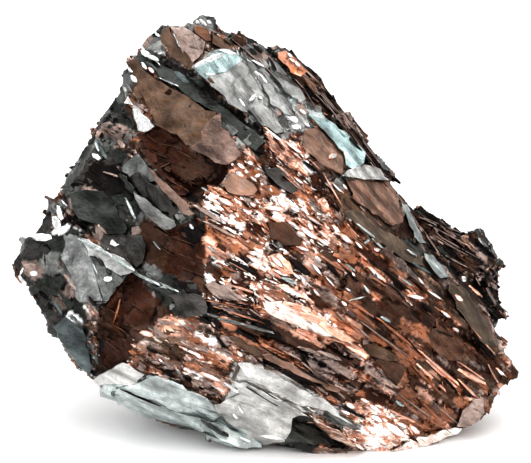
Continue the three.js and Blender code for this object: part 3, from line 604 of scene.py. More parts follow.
        (176, 252, 202, 262, 1), (160, 246, 176, 256, 1), (184, 268, 204, 276, 1), (108, 306, 124, 318, 1),
        (112, 322, 132, 334, 1), (104, 338, 122, 352, 1), (130, 300, 148, 312, 1),
    ],
    "pewter": [
        (218, 317, 244, 323, 4), (240, 322, 272, 331, 4), (206, 312, 226, 318, 3),
    ],
    "slate": [
        (246, 385, 277, 404, 1), (271, 383, 284, 391, 2), (204, 419, 229, 435, 6), (170, 376, 196, 390, 2),
        (100, 258, 104, 266, 4), (108, 268, 112, 274, 4), (228, 366, 246, 376, 3),
    ],
}

# ---------------------------------------------------------------------------------------------------------
# Crystal forms. Each is modelled once at unit size, x along, y across and z up, and then repeated.
Form = namedtuple("Form", "corners triangles parts")
TOP, RIM, WALL, END = range(4)
FORMS = 8  # how many forms each coat has
TOP_FACES, RIM_FACES = 0.85, 0.2  # a triangle's part is told by how far it faces up
END_FACES = 0.6  # or along
COLUMN_CHAMFER, COLUMN_END = (0.12, 0.3), 0.42
COLUMN_SLANT, COLUMN_LEAN = (-0.3, 0.3), (-0.1, 0.35)  # how its ends turn sideways and up
CHIP_CUTS, CHIP_REACH = 3, (0.36, 0.5)
BLADE_SIDES, BLADE_CHAMFER = 7, 0.14
FLAKE_SIDES, FLAKE_CHAMFER = (5, 8), 0.06
BLADE_REACH, GRAIN_REACH, FLAKE_REACH = (0.85, 1.1), (0.8, 1.1), (0.7, 1.15)


def triangles_of(bm):
    """Each triangle's corner numbers, lowest first, and its face, in an order that is the same each run."""
    bm.verts.index_update()
    rows = []
    for face in bm.faces:
        numbers = [v.index for v in face.verts]
        lowest = numbers.index(min(numbers))
        rows.append((numbers[lowest:] + numbers[:lowest], face))
    rows.sort(key=lambda row: row[0])
    triangles, faces = zip(*rows)
    return np.array(triangles), faces


def form_of(bm):
    """A crystal form from a closed bmesh, with each triangle's part told by the way it faces."""
    bmesh.ops.recalc_face_normals(bm, faces=bm.faces)
    bmesh.ops.triangulate(bm, faces=bm.faces)
    corners = np.array([v.co for v in bm.verts])
    triangles, faces = triangles_of(bm)
    parts = []
    for face in faces:
        if face.normal.z > TOP_FACES:
            parts.append(TOP)
        elif face.normal.z > RIM_FACES:
            parts.append(RIM)
        else:
            parts.append(END if abs(face.normal.x) > END_FACES else WALL)
    bm.free()
    return Form(corners, triangles, np.array(parts))


def cut_end(bm, place, direction):
    """Cuts off what lies beyond a plane and closes the cut."""
    whole = bm.verts[:] + bm.edges[:] + bm.faces[:]
    bmesh.ops.bisect_plane(bm, geom=whole, plane_co=place, plane_no=direction, clear_outer=True)
    bmesh.ops.holes_fill(bm, edges=[edge for edge in bm.edges if edge.is_boundary])


def chamfer(bm, edges, width):
    """Takes the edges off by one flat each."""
    bmesh.ops.bevel(bm, geom=edges, offset=width, offset_type="OFFSET", affect="EDGES", segments=1,
                    profile=0.5, material=-1)


def column_form(rng):
    """A long crystal with chamfered upper edges and slanted ends."""
    bm = bmesh.new()
    bmesh.ops.create_cube(bm, size=1.0)
    above = [edge for edge in bm.edges if all(v.co.z > 0 for v in edge.verts)]
    upper = [edge for edge in above if edge.verts[0].co.y == edge.verts[1].co.y]
    chamfer(bm, upper, rng.uniform(*COLUMN_CHAMFER))
    for end in (-1, 1):
        lean = Vector((end, rng.uniform(*COLUMN_SLANT), rng.uniform(*COLUMN_LEAN)))
        cut_end(bm, (end * COLUMN_END, 0, 0), lean)
    return form_of(bm)


def flat_form(rng, sides, width, reach):
    """A flat crystal with a chamfer of that width and an uneven outline. reach is its corners' range."""
    bm = bmesh.new()
    bmesh.ops.create_circle(bm, cap_ends=True, segments=sides, radius=0.5)
    for v in bm.verts:
        v.co *= rng.uniform(*reach)
    bmesh.ops.translate(bm, verts=bm.verts, vec=(0, 0, -0.5))
    risen = bmesh.ops.extrude_face_region(bm, geom=bm.faces[:])["geom"]
    top = [part for part in risen if isinstance(part, bmesh.types.BMVert)]
    bmesh.ops.translate(bm, verts=top, vec=(0, 0, 1))
    chamfer(bm, [part for part in risen if isinstance(part, bmesh.types.BMEdge)], width)
    return form_of(bm)


def blade_form(rng):
    """A single blade's form, nearly even."""
    return flat_form(rng, BLADE_SIDES, BLADE_CHAMFER, BLADE_REACH)


def grain_form(rng):
    """A grain's form, as a blade's but less even."""
    return flat_form(rng, BLADE_SIDES, BLADE_CHAMFER, GRAIN_REACH)


def flake_form(rng):
    """A flake's form, with a thinner chamfer and any of several numbers of sides."""
    return flat_form(rng, int(rng.integers(*FLAKE_SIDES)), FLAKE_CHAMFER, FLAKE_REACH)


def chip_form(rng):
    """A blocky broken crystal: a cube with some corners struck off."""
    bm = bmesh.new()
    bmesh.ops.create_cube(bm, size=1.0)
    for _ in range(CHIP_CUTS):
        direction = Vector(rng.uniform(-1, 1, 3))
        direction.z = abs(direction.z)
        direction.normalize()
        cut_end(bm, direction * rng.uniform(*CHIP_REACH), direction)
    return form_of(bm)


Crystals = namedtuple("Crystals", "form centre along side facing size tint sparkle")
COPY_SHIFT, SHIFT_REPEAT = np.array((1.7, 0.9, 0.3)), 31.0  # gives each copy a striation of its own


def joined_crystals(forms, crystals):
    """Corners, triangles, colours, grain places and sparkle of the crystals, each a copy of its form."""
    low, high = BOX
    corners, triangles, colours, grains, sparkles = [], [], [], [], []
    made = 0
    for number, form in enumerate(forms):
        chosen = crystals.form == number
        size = crystals.size[chosen]
        if not len(size):
            continue
        local = form.corners[None] * size[:, None]
        axes = np.stack([crystals.along[chosen], crystals.side[chosen], crystals.facing[chosen]], axis=1)
        placed = crystals.centre[chosen][:, None] + local @ axes
        fits = ((placed >= low) & (placed <= high)).all(axis=(1, 2))
        placed, local = placed[fits], local[fits]
        tint = crystals.tint[chosen][fits]
        count = len(placed)
        offsets = made + np.arange(count)[:, None, None] * len(form.corners)
        triangles.append((form.triangles[None] + offsets).reshape(-1, 3))
        colours.append(tint[np.arange(count)[:, None], form.parts[None]].reshape(-1, 4))
        corners.append(placed.reshape(-1, 3))
        shift = np.arange(count)[:, None, None] * COPY_SHIFT % SHIFT_REPEAT
        grains.append((local + shift).reshape(-1, 3))
        sparkles.append(np.repeat(crystals.sparkle[chosen][fits], len(form.corners)))
        made += count * len(form.corners)
    return tuple(np.concatenate(rows) for rows in (corners, triangles, colours, grains, sparkles))


def piece_from(name, corners, triangles, colours, grains, sparkles, smooth_below=0.0):
    """A new piece from joined parts. colours has a row per triangle, or one per triangle's corner."""
    mesh = bpy.data.meshes.new(name)
    mesh.vertices.add(len(corners))
    mesh.vertices.foreach_set("co", (corners * MM).astype(np.float32).ravel())
    mesh.loops.add(triangles.size)
    mesh.loops.foreach_set("vertex_index", triangles.astype(np.int32).ravel())
    mesh.polygons.add(len(triangles))
    mesh.polygons.foreach_set("loop_start", np.arange(0, triangles.size, 3, dtype=np.int32))
    mesh.update(calc_edges=True)
    if len(colours) == len(triangles):
        colours = np.repeat(colours, 3, axis=0)
    # finish: colour and gloss, with painted light and shade in the colour
    finish = mesh.attributes.new("finish", "FLOAT_COLOR", "CORNER")
    finish.data.foreach_set("color", colours.astype(np.float32).ravel())
    grain = mesh.attributes.new("grain", "FLOAT_VECTOR", "POINT")
    grain.data.foreach_set("vector", grains.astype(np.float32).ravel())
    # sparkle: how much painted glint the shader puts there
    sparkle = mesh.attributes.new("sparkle", "FLOAT", "POINT")
    sparkle.data.foreach_set("value", sparkles.astype(np.float32))
    mesh.validate()
    if smooth_below:
        mesh.shade_smooth()
        mesh.set_sharp_from_angle(angle=smooth_below)
    else:
        mesh.shade_flat()
    mesh.materials.append(tellurium_material())
    piece = bpy.data.objects.new(name, mesh)
    bpy.context.scene.collection.objects.link(piece)
    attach(piece, BODY)
    return piece


# ---------------------------------------------------------------------------------------------------------
# The solid's surface, as the crystals' ground.
EVEN_FACE = 0.28  # how wide the ground's faces are
MERGED = 1e-6  # corners nearer to each other than this, in metres, are one
STEEPEST_PLATE = 2.2  # rise per millimetre
PLATE_REST = 80  # a face lies above this share, in percent, of the surface behind it
PROBE_RINGS = (0.95, 0.6, 0.25)  # that surface is probed along the outline shrunk to these shares
EDGE_PATCH, EDGE_SHIFT = 0.9, 0.7  # how the border between a face and the crystals wavers
GIVE_WAY = 4.0  # what stands above a face by less than this is broken away
TURNED_AWAY = -0.3  # a surface that faces away from a face by more than this isn't covered by it
CLEARANCE = 0.08  # how far the surface stays behind a face


class Fitted:
    """A cleavage face laid on the surface behind it: out = height + slopes * (spot - middle)."""

    def __init__(self, finish, raised, outline, face, depth_at):
        self.finish, self.outline, self.face = finish, outline, face
        self.middle = outline.mean(axis=0)
        inner = [self.middle + share * (outline - self.middle) for share in PROBE_RINGS]
        probes = [(x, y, depth_at(x, y, face)) for x, y in np.concatenate(inner)]
        found = np.array([probe for probe in probes if probe[2] is not None])
        flat = np.column_stack([np.ones(len(found)), found[:, :2] - self.middle])
        plane, *_ = np.linalg.lstsq(flat, found[:, 2], rcond=None)
        self.slopes = np.clip(plane[1:], -STEEPEST_PLATE, STEEPEST_PLATE)
        over = found[:, 2] - flat[:, 1:] @ self.slopes
        self.height = np.percentile(over, PLATE_REST) + raised
        self.spread = np.ptp(over)

    def out_at(self, spots):
        """How far out the face is at spots [across, up]."""
        return self.height + (spots - self.middle) @ self.slopes

    def behind(self, points, normals):
        """The points as spots of the face, and which of them lie on the surface that it covers."""
        spots = face_spots(points, self.face)
        near = np.abs(spots[:, 2] - self.out_at(spots[:, :2])) < GIVE_WAY
        towards = normals @ self.face.axes[2] > TURNED_AWAY
        return spots, near & towards & inside(self.outline, spots[:, :2])


HIDDEN_FACES = 150  # cleavage faces tried on the hidden sides
HIDDEN_LENGTH, HIDDEN_WIDTH = (3.0, 8.0), (1.8, 4.2)
HIDDEN_CORNERS, HIDDEN_REACH = 8, (0.8, 1.1)
WIDEST_TURN = pi / 2  # between two corners, seen from the middle
HIDDEN_RAISED = 0.1
FLAT_ENOUGH = 1.6  # the surface behind a hidden face may be uneven by this
WARM_FACES, GREY_FACES = ("bronze", "tan", "mauve", "rose"), ("silver", "pewter", "slate", "dusk", "pearl")


def hidden_faces(surface):
    """Cleavage faces for the sides and the back, each in a frame of its own that lies along the grain."""
    rng = seeded("hidden faces")
    hidden = np.flatnonzero(surface.normals @ OUT < FACES_FRONT)
    shares = surface.areas[hidden] / surface.areas[hidden].sum()
    chosen = rng.choice(hidden, HIDDEN_FACES, p=shares)
    middles = surface.corners[surface.triangles[chosen]].mean(axis=1)
    zones = zones_at(middles, surface.normals[chosen])
    made = []
    for middle, normal, zone in zip(middles, surface.normals[chosen], zones):
        grain = grain_at(middle[None])[0]
        along = unit(grain - (grain @ normal) * normal)
        face = Frame(middle, np.stack((along, np.cross(normal, along), normal)))
        turns = np.sort(rng.uniform(0, 2 * pi, HIDDEN_CORNERS))
        reach = rng.uniform(*HIDDEN_REACH, HIDDEN_CORNERS)[:, None] / 2
        outline = reach * np.column_stack((np.cos(turns), np.sin(turns)))
        outline *= (rng.uniform(*HIDDEN_LENGTH), rng.uniform(*HIDDEN_WIDTH))
        finish = rng.choice(WARM_FACES if "copper" in ZONE_TABLE[zone].mix else GREY_FACES)
        if np.diff(turns).max() < WIDEST_TURN and surface.depth(0, 0, face) is not None:
            fitted = Fitted(finish, HIDDEN_RAISED, outline, face, surface.depth)
            if fitted.spread < FLAT_ENOUGH and not shows_in_front(fitted, surface):
                made.append(fitted)
    return made


def shows_in_front(fitted, surface):
    """Whether a hidden face would stand out of the lump's outline or in front of its show face."""
    edge = np.column_stack([fitted.outline, fitted.out_at(fitted.outline)])
    corners = face_spots(part_points(edge, fitted.face))
    depths = [surface.depth(across, up) for across, up, _ in corners]
    return None in depths or (corners[:, 2] > np.array(depths)).any()


def keep_largest(bm):
    """Deletes every loose part but the largest."""
    parts, left = [], set(bm.verts)
    while left:
        part, reached = [], [next(iter(left))]
        while reached:
            vert = reached.pop()
            if vert in left:
                left.discard(vert)
                part.append(vert)
                reached += [edge.other_vert(vert) for edge in vert.link_edges]
        parts.append(part)
    for part in sorted(parts, key=len)[:-1]:
        bmesh.ops.delete(bm, geom=part, context="VERTS")


def evenly_faced(bm):
    """A new bmesh over the same closed surface, with triangles of about one size."""
    mesh = bpy.data.meshes.new("even")
    bm.to_mesh(mesh)
    holder = bpy.data.objects.new("even", mesh)
    bpy.context.scene.collection.objects.link(holder)
    even = holder.modifiers.new("even", "REMESH")
    even.mode, even.voxel_size, even.adaptivity = "VOXEL", EVEN_FACE * MM, 0.0
    made = bmesh.new()
    made.from_object(holder, bpy.context.evaluated_depsgraph_get())
    keep_largest(made)
    bmesh.ops.triangulate(made, faces=made.faces)
    made.normal_update()
    bpy.data.objects.remove(holder)
    bpy.data.meshes.remove(mesh)
    return made


HALVINGS = 8  # more than any face needs


def refine(bm, longest):
    """Halves edges until none is longer than it may be."""
    for _ in range(HALVINGS):
        long_edges = [edge for edge in bm.edges if edge.calc_length() > longest * MM]
        if not long_edges:
            break
        bmesh.ops.subdivide_edges(bm, edges=long_edges, cuts=1, use_grid_fill=True, use_single_edge=True)
        bmesh.ops.triangulate(bm, faces=bm.faces)
        bm.normal_update()


REST_FLATNESS = 0.12  # below this height the rest face stays flat
SURELY = 0.8  # cosine up to which the nearest surface tells that a point is behind it


class Ground:
    """The merged surface of the solid: where crystals can grow, and which way it faces."""

    def __init__(self):
        bm = bmesh.new()
        bm.from_mesh(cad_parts[NODE].data)
        bmesh.ops.remove_doubles(bm, verts=bm.verts, dist=MERGED)
        self.tree = BVHTree.FromBMesh(bm)
        self.plates = [Fitted(plate.finish, plate.raised, across_up(plate.outline), SHOW, self.depth)
                       for plate in PLATES]
        even = evenly_faced(bm)
        bm.free()
        self.corners = np.array([v.co for v in even.verts]) / MM
        self.corner_normals = np.array([v.normal for v in even.verts])
        self.triangles, _ = triangles_of(even)
        even.free()
        self.zones = zones_at(self.corners, self.corner_normals)
        self.depths = depths_at(self.corners, self.zones)
        self.depths[self.corners[:, 2] < REST_FLATNESS] = 0
        self.measure()
        self.plates += hidden_faces(self)
        self.corners -= self.depths[:, None] * self.corner_normals
        self.make_room()
        self.corners = np.clip(self.corners, *BOX)
        self.measure()
        self.tree = BVHTree.FromPolygons((self.corners * MM).tolist(), self.triangles.tolist())

    def measure(self):
        """The triangles' areas and the way they face."""
        a, b, c = (self.corners[self.triangles[:, i]] for i in range(3))
        cross = np.cross(b - a, c - a)
        self.areas = np.linalg.norm(cross, axis=1) / 2
        self.normals = unit(cross)

    def make_room(self):
        """Breaks away what would stand out through the cleavage faces."""
        for plate in self.plates:
            spots, behind = plate.behind(self.corners, self.corner_normals)
            limit = plate.out_at(spots[:, :2]) - CLEARANCE
            moved = behind & (spots[:, 2] > limit)
            spots[moved, 2] = limit[moved]
            self.corners[moved] = part_points(spots[moved], plate.face)

    def scattered(self, kind, density, rng):
        """Points spread evenly over the zones of one kind, the way it faces there, and their zones."""
        kinds = np.array([zone.coat == kind for zone in ZONE_TABLE])
        zones = self.zones[self.triangles[:, 0]]
        areas = self.areas * kinds[zones]
        count = int(areas.sum() * density)
        chosen = rng.choice(len(areas), count, p=areas / areas.sum())
        a, b, c = (self.corners[self.triangles[chosen, i]] for i in range(3))
        first, second = rng.random((2, count, 1))
        over = first + second > 1
        first, second = np.where(over, 1 - first, first), np.where(over, 1 - second, second)
        return a + first * (b - a) + second * (c - a), self.normals[chosen], zones[chosen]

    def depth(self, across, up, face=SHOW):
        """How far out the surface is at a spot of a face, or None beside it."""
        start = Vector(part_points((across, up, FAR_OUT), face) * MM)
        hit, _, _, distance = self.tree.ray_cast(start, Vector(-face.axes[2]))
        return None if hit is None else FAR_OUT - distance / MM

    def front(self, across, up):
        """As depth on the show face, with the cleavage faces laid on."""
        spot = np.array([[across, up]])
        covering = [plate for plate in self.plates[:len(PLATES)] if inside(plate.outline, spot)[0]]
        return max((plate.out_at(spot)[0] for plate in covering), default=self.depth(across, up))

    def under_plate(self, points, normals):
        """Which points of the surface lie behind a cleavage face, but for its wavering border."""
        shifts = [slow_noise(points, EDGE_PATCH, start) for start in EDGE_START]
        moved = points + EDGE_SHIFT * np.column_stack(shifts)
        return np.any([plate.behind(moved, normals)[1] for plate in self.plates], axis=0)

    def stands_out(self, points):
        """How far each point is outside the surface; negative within it."""
        out = np.empty(len(points))
        for i, point in enumerate(points * MM):
            near, normal, _, distance = self.tree.find_nearest(point)
            behind = (near - Vector(point)).dot(normal) > SURELY * distance
            out[i] = distance / MM * (-1 if behind else 1)
        return out


_made_once = {}


def ground():
    """The one Ground, made when it is first asked for."""
    if "ground" not in _made_once:
        _made_once["ground"] = Ground()
    return _made_once["ground"]


# ---------------------------------------------------------------------------------------------------------
# Finishes: colours of the metal with painted light and shade in them. The metal is silvery:
# the coppers, pinks and browns are warm reflection painted into the colour, the greys from pearl
# down to slate are lit and shaded copies of the one metal, glint and dawn are painted highlights,
# and shadow and ember are painted shade.
Finish = namedtuple("Finish", "colour gloss use")
FINISHES_WITH_PAINTED_LIGHT = {
    # copper, blush and coral: painted warm reflection; blush is also the painted warm highlight round glints
    "copper": Finish((0.3, 0.118, 0.065), 0.45, "Coppery tarnish of the columns"),
    "blush": Finish((0.74, 0.38, 0.27), 0.5, "Bright orange pink of fresh columns"),
    "coral": Finish((0.52, 0.22, 0.13), 0.4, "Orange crystal of the upper edge"),
    "rust": Finish((0.125, 0.06, 0.038), 0.35, "Red brown faces"),
    "bronze": Finish((0.09, 0.053, 0.035), 0.4, "Brown cleavage faces"),
    "tan": Finish((0.24, 0.137, 0.098), 0.4, "Light brown bars"),
    "olive": Finish((0.14, 0.1, 0.071), 0.35, "Yellowish brown faces"),
    "umber": Finish((0.055, 0.027, 0.018), 0.35, "Dull brown crystals"),
    # ember: painted shade of the hollows and crevices
    "ember": Finish((0.043, 0.016, 0.010), 0.3, "Very dark red brown of the hollows"),
    "mauve": Finish((0.155, 0.098, 0.078), 0.4, "Pinkish brown faces"),
    "rose": Finish((0.3, 0.215, 0.185), 0.5, "Pinkish grey faces"),
    "silver": Finish((0.26, 0.262, 0.254), 0.5, "Silver grey faces"),
    "pewter": Finish((0.135, 0.137, 0.131), 0.5, "Middling grey faces"),
    "frost": Finish((0.46, 0.51, 0.50), 0.45, "Pale faces with a cold cast"),
    "teal": Finish((0.07, 0.085, 0.086), 0.5, "Dark faces with a cold cast"),
    "slate": Finish((0.030, 0.032, 0.029), 0.5, "Dark grey faces"),
    "dusk": Finish((0.046, 0.042, 0.039), 0.45, "Grey brown faces"),
    # shadow: painted shade, nearly black, put into the gaps
    "shadow": Finish((0.010, 0.008, 0.008), 0.3, "Nearly black gaps"),
    "ice": Finish((0.32, 0.43, 0.43), 0.45, "Pale faces with a colder cast"),
    "pearl": Finish((0.49, 0.483, 0.466), 0.45, "Pale grey faces"),
    # dawn and glint: painted highlights
    "dawn": Finish((0.95, 0.70, 0.62), 0.5, "Nearly white pink of the brightest blades"),
    "glint": Finish((0.98, 0.96, 0.94), 0.6, "White of the brightest crystals"),
}
# How the lightness of a finish varies: with a patch of the lump, and from cell to cell.
LIGHTNESS_PATCH, PATCH_LIGHTNESS, CELL_LIGHTNESS = 2.4, 0.45, 0.3
CELL_SPREAD = 7.3  # makes a second random share of a cell from the first


def finish_of(name):
    """A finish as red, green, blue and gloss."""
    return np.array((*getattr(bpy.context.scene.tellurium_finishes, name), FINISHES_WITH_PAINTED_LIGHT[name].gloss))


def finishes_at(points, zones, shares):
    """A finish for each point, picked from its zone's mix by a share from 0 to 1, with its own lightness."""
    finishes = np.zeros((len(points), 4))
    for number, zone in enumerate(ZONE_TABLE):
        here = zones == number
        parts = np.cumsum(list(zone.mix.values()))
        picks = np.searchsorted(parts / parts[-1], shares[here])
        palette = np.array([finish_of(name) for name in zone.mix])
        finishes[here] = palette[picks]
    patches = slow_noise(points, LIGHTNESS_PATCH, LIGHTNESS_START)
    other_shares = np.modf(shares * CELL_SPREAD)[0]
    lightness = 1 + PATCH_LIGHTNESS * patches + CELL_LIGHTNESS * (other_shares - 0.5)
    finishes[:, :3] = np.minimum(finishes[:, :3] * lightness[:, None], 1.0)
    return finishes


def sparkle_of(zones):
    """How many painted glints each zone has."""
    return np.array([zone.sparkle for zone in ZONE_TABLE])[zones]


# Painted light and shade on the parts of a crystal against its top: top, rim, wall, end. The rim
# gets a painted highlight, the walls and ends painted shade.
PAINTED_PART_SHADES = np.array((1.0, 1.3, 0.5, 0.85))
GLINT_BLUE = 0.7  # a crystal with more blue than this counts as a glint
OF_ITS_CELL = 0.65  # share of the crystals that have the finish of the cell they grow on


def part_tints(finishes, glowing=None):
    """The colour of each part of each crystal, with a painted highlight on the rim and painted shade on
    the walls and ends. Glowing glints have coppery edges, a painted warm highlight round them.
    """
    tints = np.repeat(np.asarray(finishes)[:, None], len(PAINTED_PART_SHADES), axis=1)
    tints[:, :, :3] = np.minimum(tints[:, :, :3] * PAINTED_PART_SHADES[None, :, None], 1.0)
    if glowing is not None:
        tints[glowing, RIM] = finish_of("blush")
        tints[glowing, WALL] = tints[glowing, END] = finish_of("copper")
    return tints


def glows(finishes, zones):
    """Which crystals are painted glints of a coppery zone."""
    coppery = np.array(["copper" in zone.mix for zone in ZONE_TABLE])
    return (finishes[:, 2] > GLINT_BLUE) & coppery[zones]


# A coat's length, width, height and rise are ranges; wander and tilt are angles.
Coat = namedtuple("Coat", "kind density length width height rise wander tilt lies_flat")
SHORTER = (1.0, 0.62, 0.38)  # a crystal whose ends stand out too far is tried at these shares of its length
FORM_ENDS, FORM_SIDES, FORM_TOP = 0.42, 0.4, 0.5  # about where a form's upper corners are
OUTER_RIM = 0.5  # a surface that faces the front or the back by less than this is part of the outline
END_ON, END_LENGTH = 0.5, 0.4  # crystals that meet the surface with an end are shorter
RIM_OUT, RIM_SHARE = 0.08, 0.6  # how far crystals stand out there, and which share of them grows
ON_PLATES = 0.04  # share of the crystals that grow on cleavage faces after all
LAID_DOWN = 0.9  # how far crystals that lie flat are turned down to the surface
TOO_STEEP = 0.25  # where the surface leaves a facing of less than this, any will do
PITCHED_LESS = 3  # crystals pitch less than they tilt, by this factor
COMMONEST = 0.3  # where in the range of a size most crystals lie
LOW_RISES = 1.5  # a power above one makes low rises more common
SLACK, RIM_SLACK = 0.1, 0.03  # by how much the upper corners may stand out further than the middle


def turned(first, second, angles):
    """Two square directions turned by an angle in their plane."""
    cosine, sine = np.cos(angles)[:, None], np.sin(angles)[:, None]
    return cosine * first + sine * second, cosine * second - sine * first


def shortened(centre, along, side, facing, size, most_out):
    """The crystals' lengths, cut until the upper corners lie close to the surface; 0 where none does."""
    lengths = np.zeros(len(centre))
    for share in SHORTER:
        left = np.flatnonzero(lengths == 0)
        if not len(left):
            break
        half = FORM_ENDS * share * size[left, 0, None] * along[left]
        wide = FORM_SIDES * size[left, 1, None] * side[left]
        top = centre[left] + FORM_TOP * size[left, 2, None] * facing[left]
        ends = (top + half + wide, top + half - wide, top - half + wide, top - half - wide)
        out = np.max([ground().stands_out(end) for end in ends], axis=0)
        good = left[out < most_out[left]]
        lengths[good] = share * size[good, 0]
    return lengths


def crystal_axes(points, normals, coat, rng):
    """Along, side and facing of each crystal: roughly along the grain, and facing out of the surface."""
    count = len(points)
    along = unit(grain_at(points) + rng.normal(0, sin(coat.wander), (count, 3)))
    if coat.lies_flat:
        along = unit(along - LAID_DOWN * (normals * along).sum(1)[:, None] * normals)
    across_normal = normals - (normals * along).sum(1)[:, None] * along
    anyway = unit(np.cross(along, rng.normal(0, 1, (count, 3))))
    steep = np.linalg.norm(across_normal, axis=1, keepdims=True) < TOO_STEEP
    facing = unit(np.where(steep, anyway, across_normal))
    side = np.cross(facing, along)
    facing, side = turned(facing, side, rng.normal(0, coat.tilt, count))
    along, facing = turned(along, facing, rng.normal(0, coat.tilt / PITCHED_LESS, count))
    return along, side, facing


def half_depth(normals, axes, size):
    """How far each crystal reaches from its middle towards the surface."""
    return sum(np.abs((normals * axis).sum(1)) * size[:, i] for i, axis in enumerate(axes)) / 2


def coat_of_crystals(name, coat, forms, rng):
    """A piece of many small crystals that grow on the zones of one kind."""
    points, normals, zones = ground().scattered(coat.kind, coat.density, rng)
    draws = rng.random(len(points))
    rim = np.abs(normals @ OUT) < OUTER_RIM
    covered = ground().under_plate(points, normals)
    grows = draws < np.where(covered, ON_PLATES, np.where(rim, RIM_SHARE, 1))
    points, normals, zones, rim = points[grows], normals[grows], zones[grows], rim[grows]
    count = len(points)

    axes = along, side, facing = crystal_axes(points, normals, coat, rng)
    size = np.column_stack([rng.triangular(low, low + COMMONEST * (high - low), high, count)
                            for low, high in (coat.length, coat.width, coat.height)])
    on_end = np.abs((normals * along).sum(1)) > END_ON
    size[:, 0] *= np.where(on_end, END_LENGTH, 1)
    low, high = coat.rise
    high = np.where(rim | on_end, RIM_OUT, high)
    rise = low + (high - low) * rng.random(count) ** LOW_RISES
    centre = points + normals * (rise - half_depth(normals, axes, size))[:, None]
    size[:, 0] = shortened(centre, along, side, facing, size, high + np.where(rim, RIM_SLACK, SLACK))
    centre = points + normals * (rise - half_depth(normals, axes, size))[:, None]

    shares = np.where(rng.random(count) < OF_ITS_CELL, cells_at(points, zones)[0][:, 3], rng.random(count))
    finishes = finishes_at(points, zones, shares)
    tint = part_tints(finishes, glows(finishes, zones))
    chosen = rng.integers(0, len(forms), count)
    fields = (chosen, centre, along, side, facing, size, tint, sparkle_of(zones))
    crystals = Crystals(*(rows[size[:, 0] > 0] for rows in fields))
    piece_from(name, *joined_crystals(forms, crystals))


def grow(name, draws, make_form, coat):
    """Makes a coat's forms and then the piece that they cover the lump with."""
    rng = seeded(draws)
    forms = [make_form(rng) for _ in range(FORMS)]
    coat_of_crystals(name, coat, forms, rng)
    return {"FINISHED"}


# ---------------------------------------------------------------------------------------------------------
# Shader maths as expressions
class Link:
    """A socket that can be used in expressions; each operator adds a Math node."""

    def __init__(self, tree, socket):
        self.tree, self.socket = tree, socket

    def math(self, operation, first, second):
        return node(self.tree, "ShaderNodeMath", {"operation": operation}, {0: first, 1: second}).out(0)

    def __add__(self, other):
        return self.math("ADD", self, other)

    def __radd__(self, other):
        return self.math("ADD", other, self)

    def __sub__(self, other):
        return self.math("SUBTRACT", self, other)

    def __rsub__(self, other):
        return self.math("SUBTRACT", other, self)

    def __mul__(self, other):
        return self.math("MULTIPLY", self, other)

    def __rmul__(self, other):
        return self.math("MULTIPLY", other, self)

    def between(self, low, high):
        """0 below low, 1 above high and smooth between."""
        settings = {"interpolation_type": "SMOOTHSTEP"}
        return node(self.tree, "ShaderNodeMapRange", settings, {"Value": self, 1: low, 2: high}).out(0)


class Made:
    """A node that was added, whose outputs are Links."""

    def __init__(self, tree, added):
        self.tree, self.added = tree, added

    def out(self, key):
        return Link(self.tree, self.added.outputs[key])


def node(tree, kind, settings=None, inputs=None):
    """Adds a node: its settings first, then the values or links of its sockets."""
    added = tree.nodes.new(kind)
    for key, value in (settings or {}).items():
        setattr(added, key, value)
    for key, value in (inputs or {}).items():
        if isinstance(value, Link):
            tree.links.new(value.socket, added.inputs[key])
        else:
            added.inputs[key].default_value = value
    return Made(tree, added)


def scaled_colour(tree, colour, factor):
    """A colour times a value."""
    return node(tree, "ShaderNodeVectorMath", {"operation": "SCALE"}, {0: colour, "Scale": factor}).out(0)


def attribute(tree, name):
    """A mesh attribute's node."""
    return node(tree, "ShaderNodeAttribute", {"attribute_name": name})


def noise_at(tree, place, texture):
    """A noise texture's value."""
    return node(tree, "ShaderNodeTexNoise", {}, {
        "Vector": place, "Scale": texture.scale, "Detail": texture.detail, "Roughness": texture.roughness,
        "Distortion": texture.distortion}).out("Fac")


# Scales are per metre, those of the streaks per millimetre of their stretched place.
Texture = namedtuple("Texture", "scale detail roughness distortion")
CLOUD, SPECK = Texture(900.0, 4.0, 0.62, 0.8), Texture(5200.0, 2.0, 0.6, 0.0)
PATCH, MOTTLE = Texture(330.0, 2.0, 0.5, 1.0), Texture(640.0, 3.0, 0.6, 1.6)
STRIATION, STRIATION_STRETCH = Texture(1.0, 3.0, 0.6, 0.4), (0.3, 4.2, 4.2)
BARS, BARS_STRETCH = Texture(1.0, 2.0, 0.6, 0.4), (0.7, 2.1, 2.1)
# the white of the painted highlights' cores
GLINT_WHITE = (1.0, 0.93, 0.86, 1.0)
BUMP_STRENGTH, BUMP_DEPTH = 0.8, 0.00014  # the depth in metres


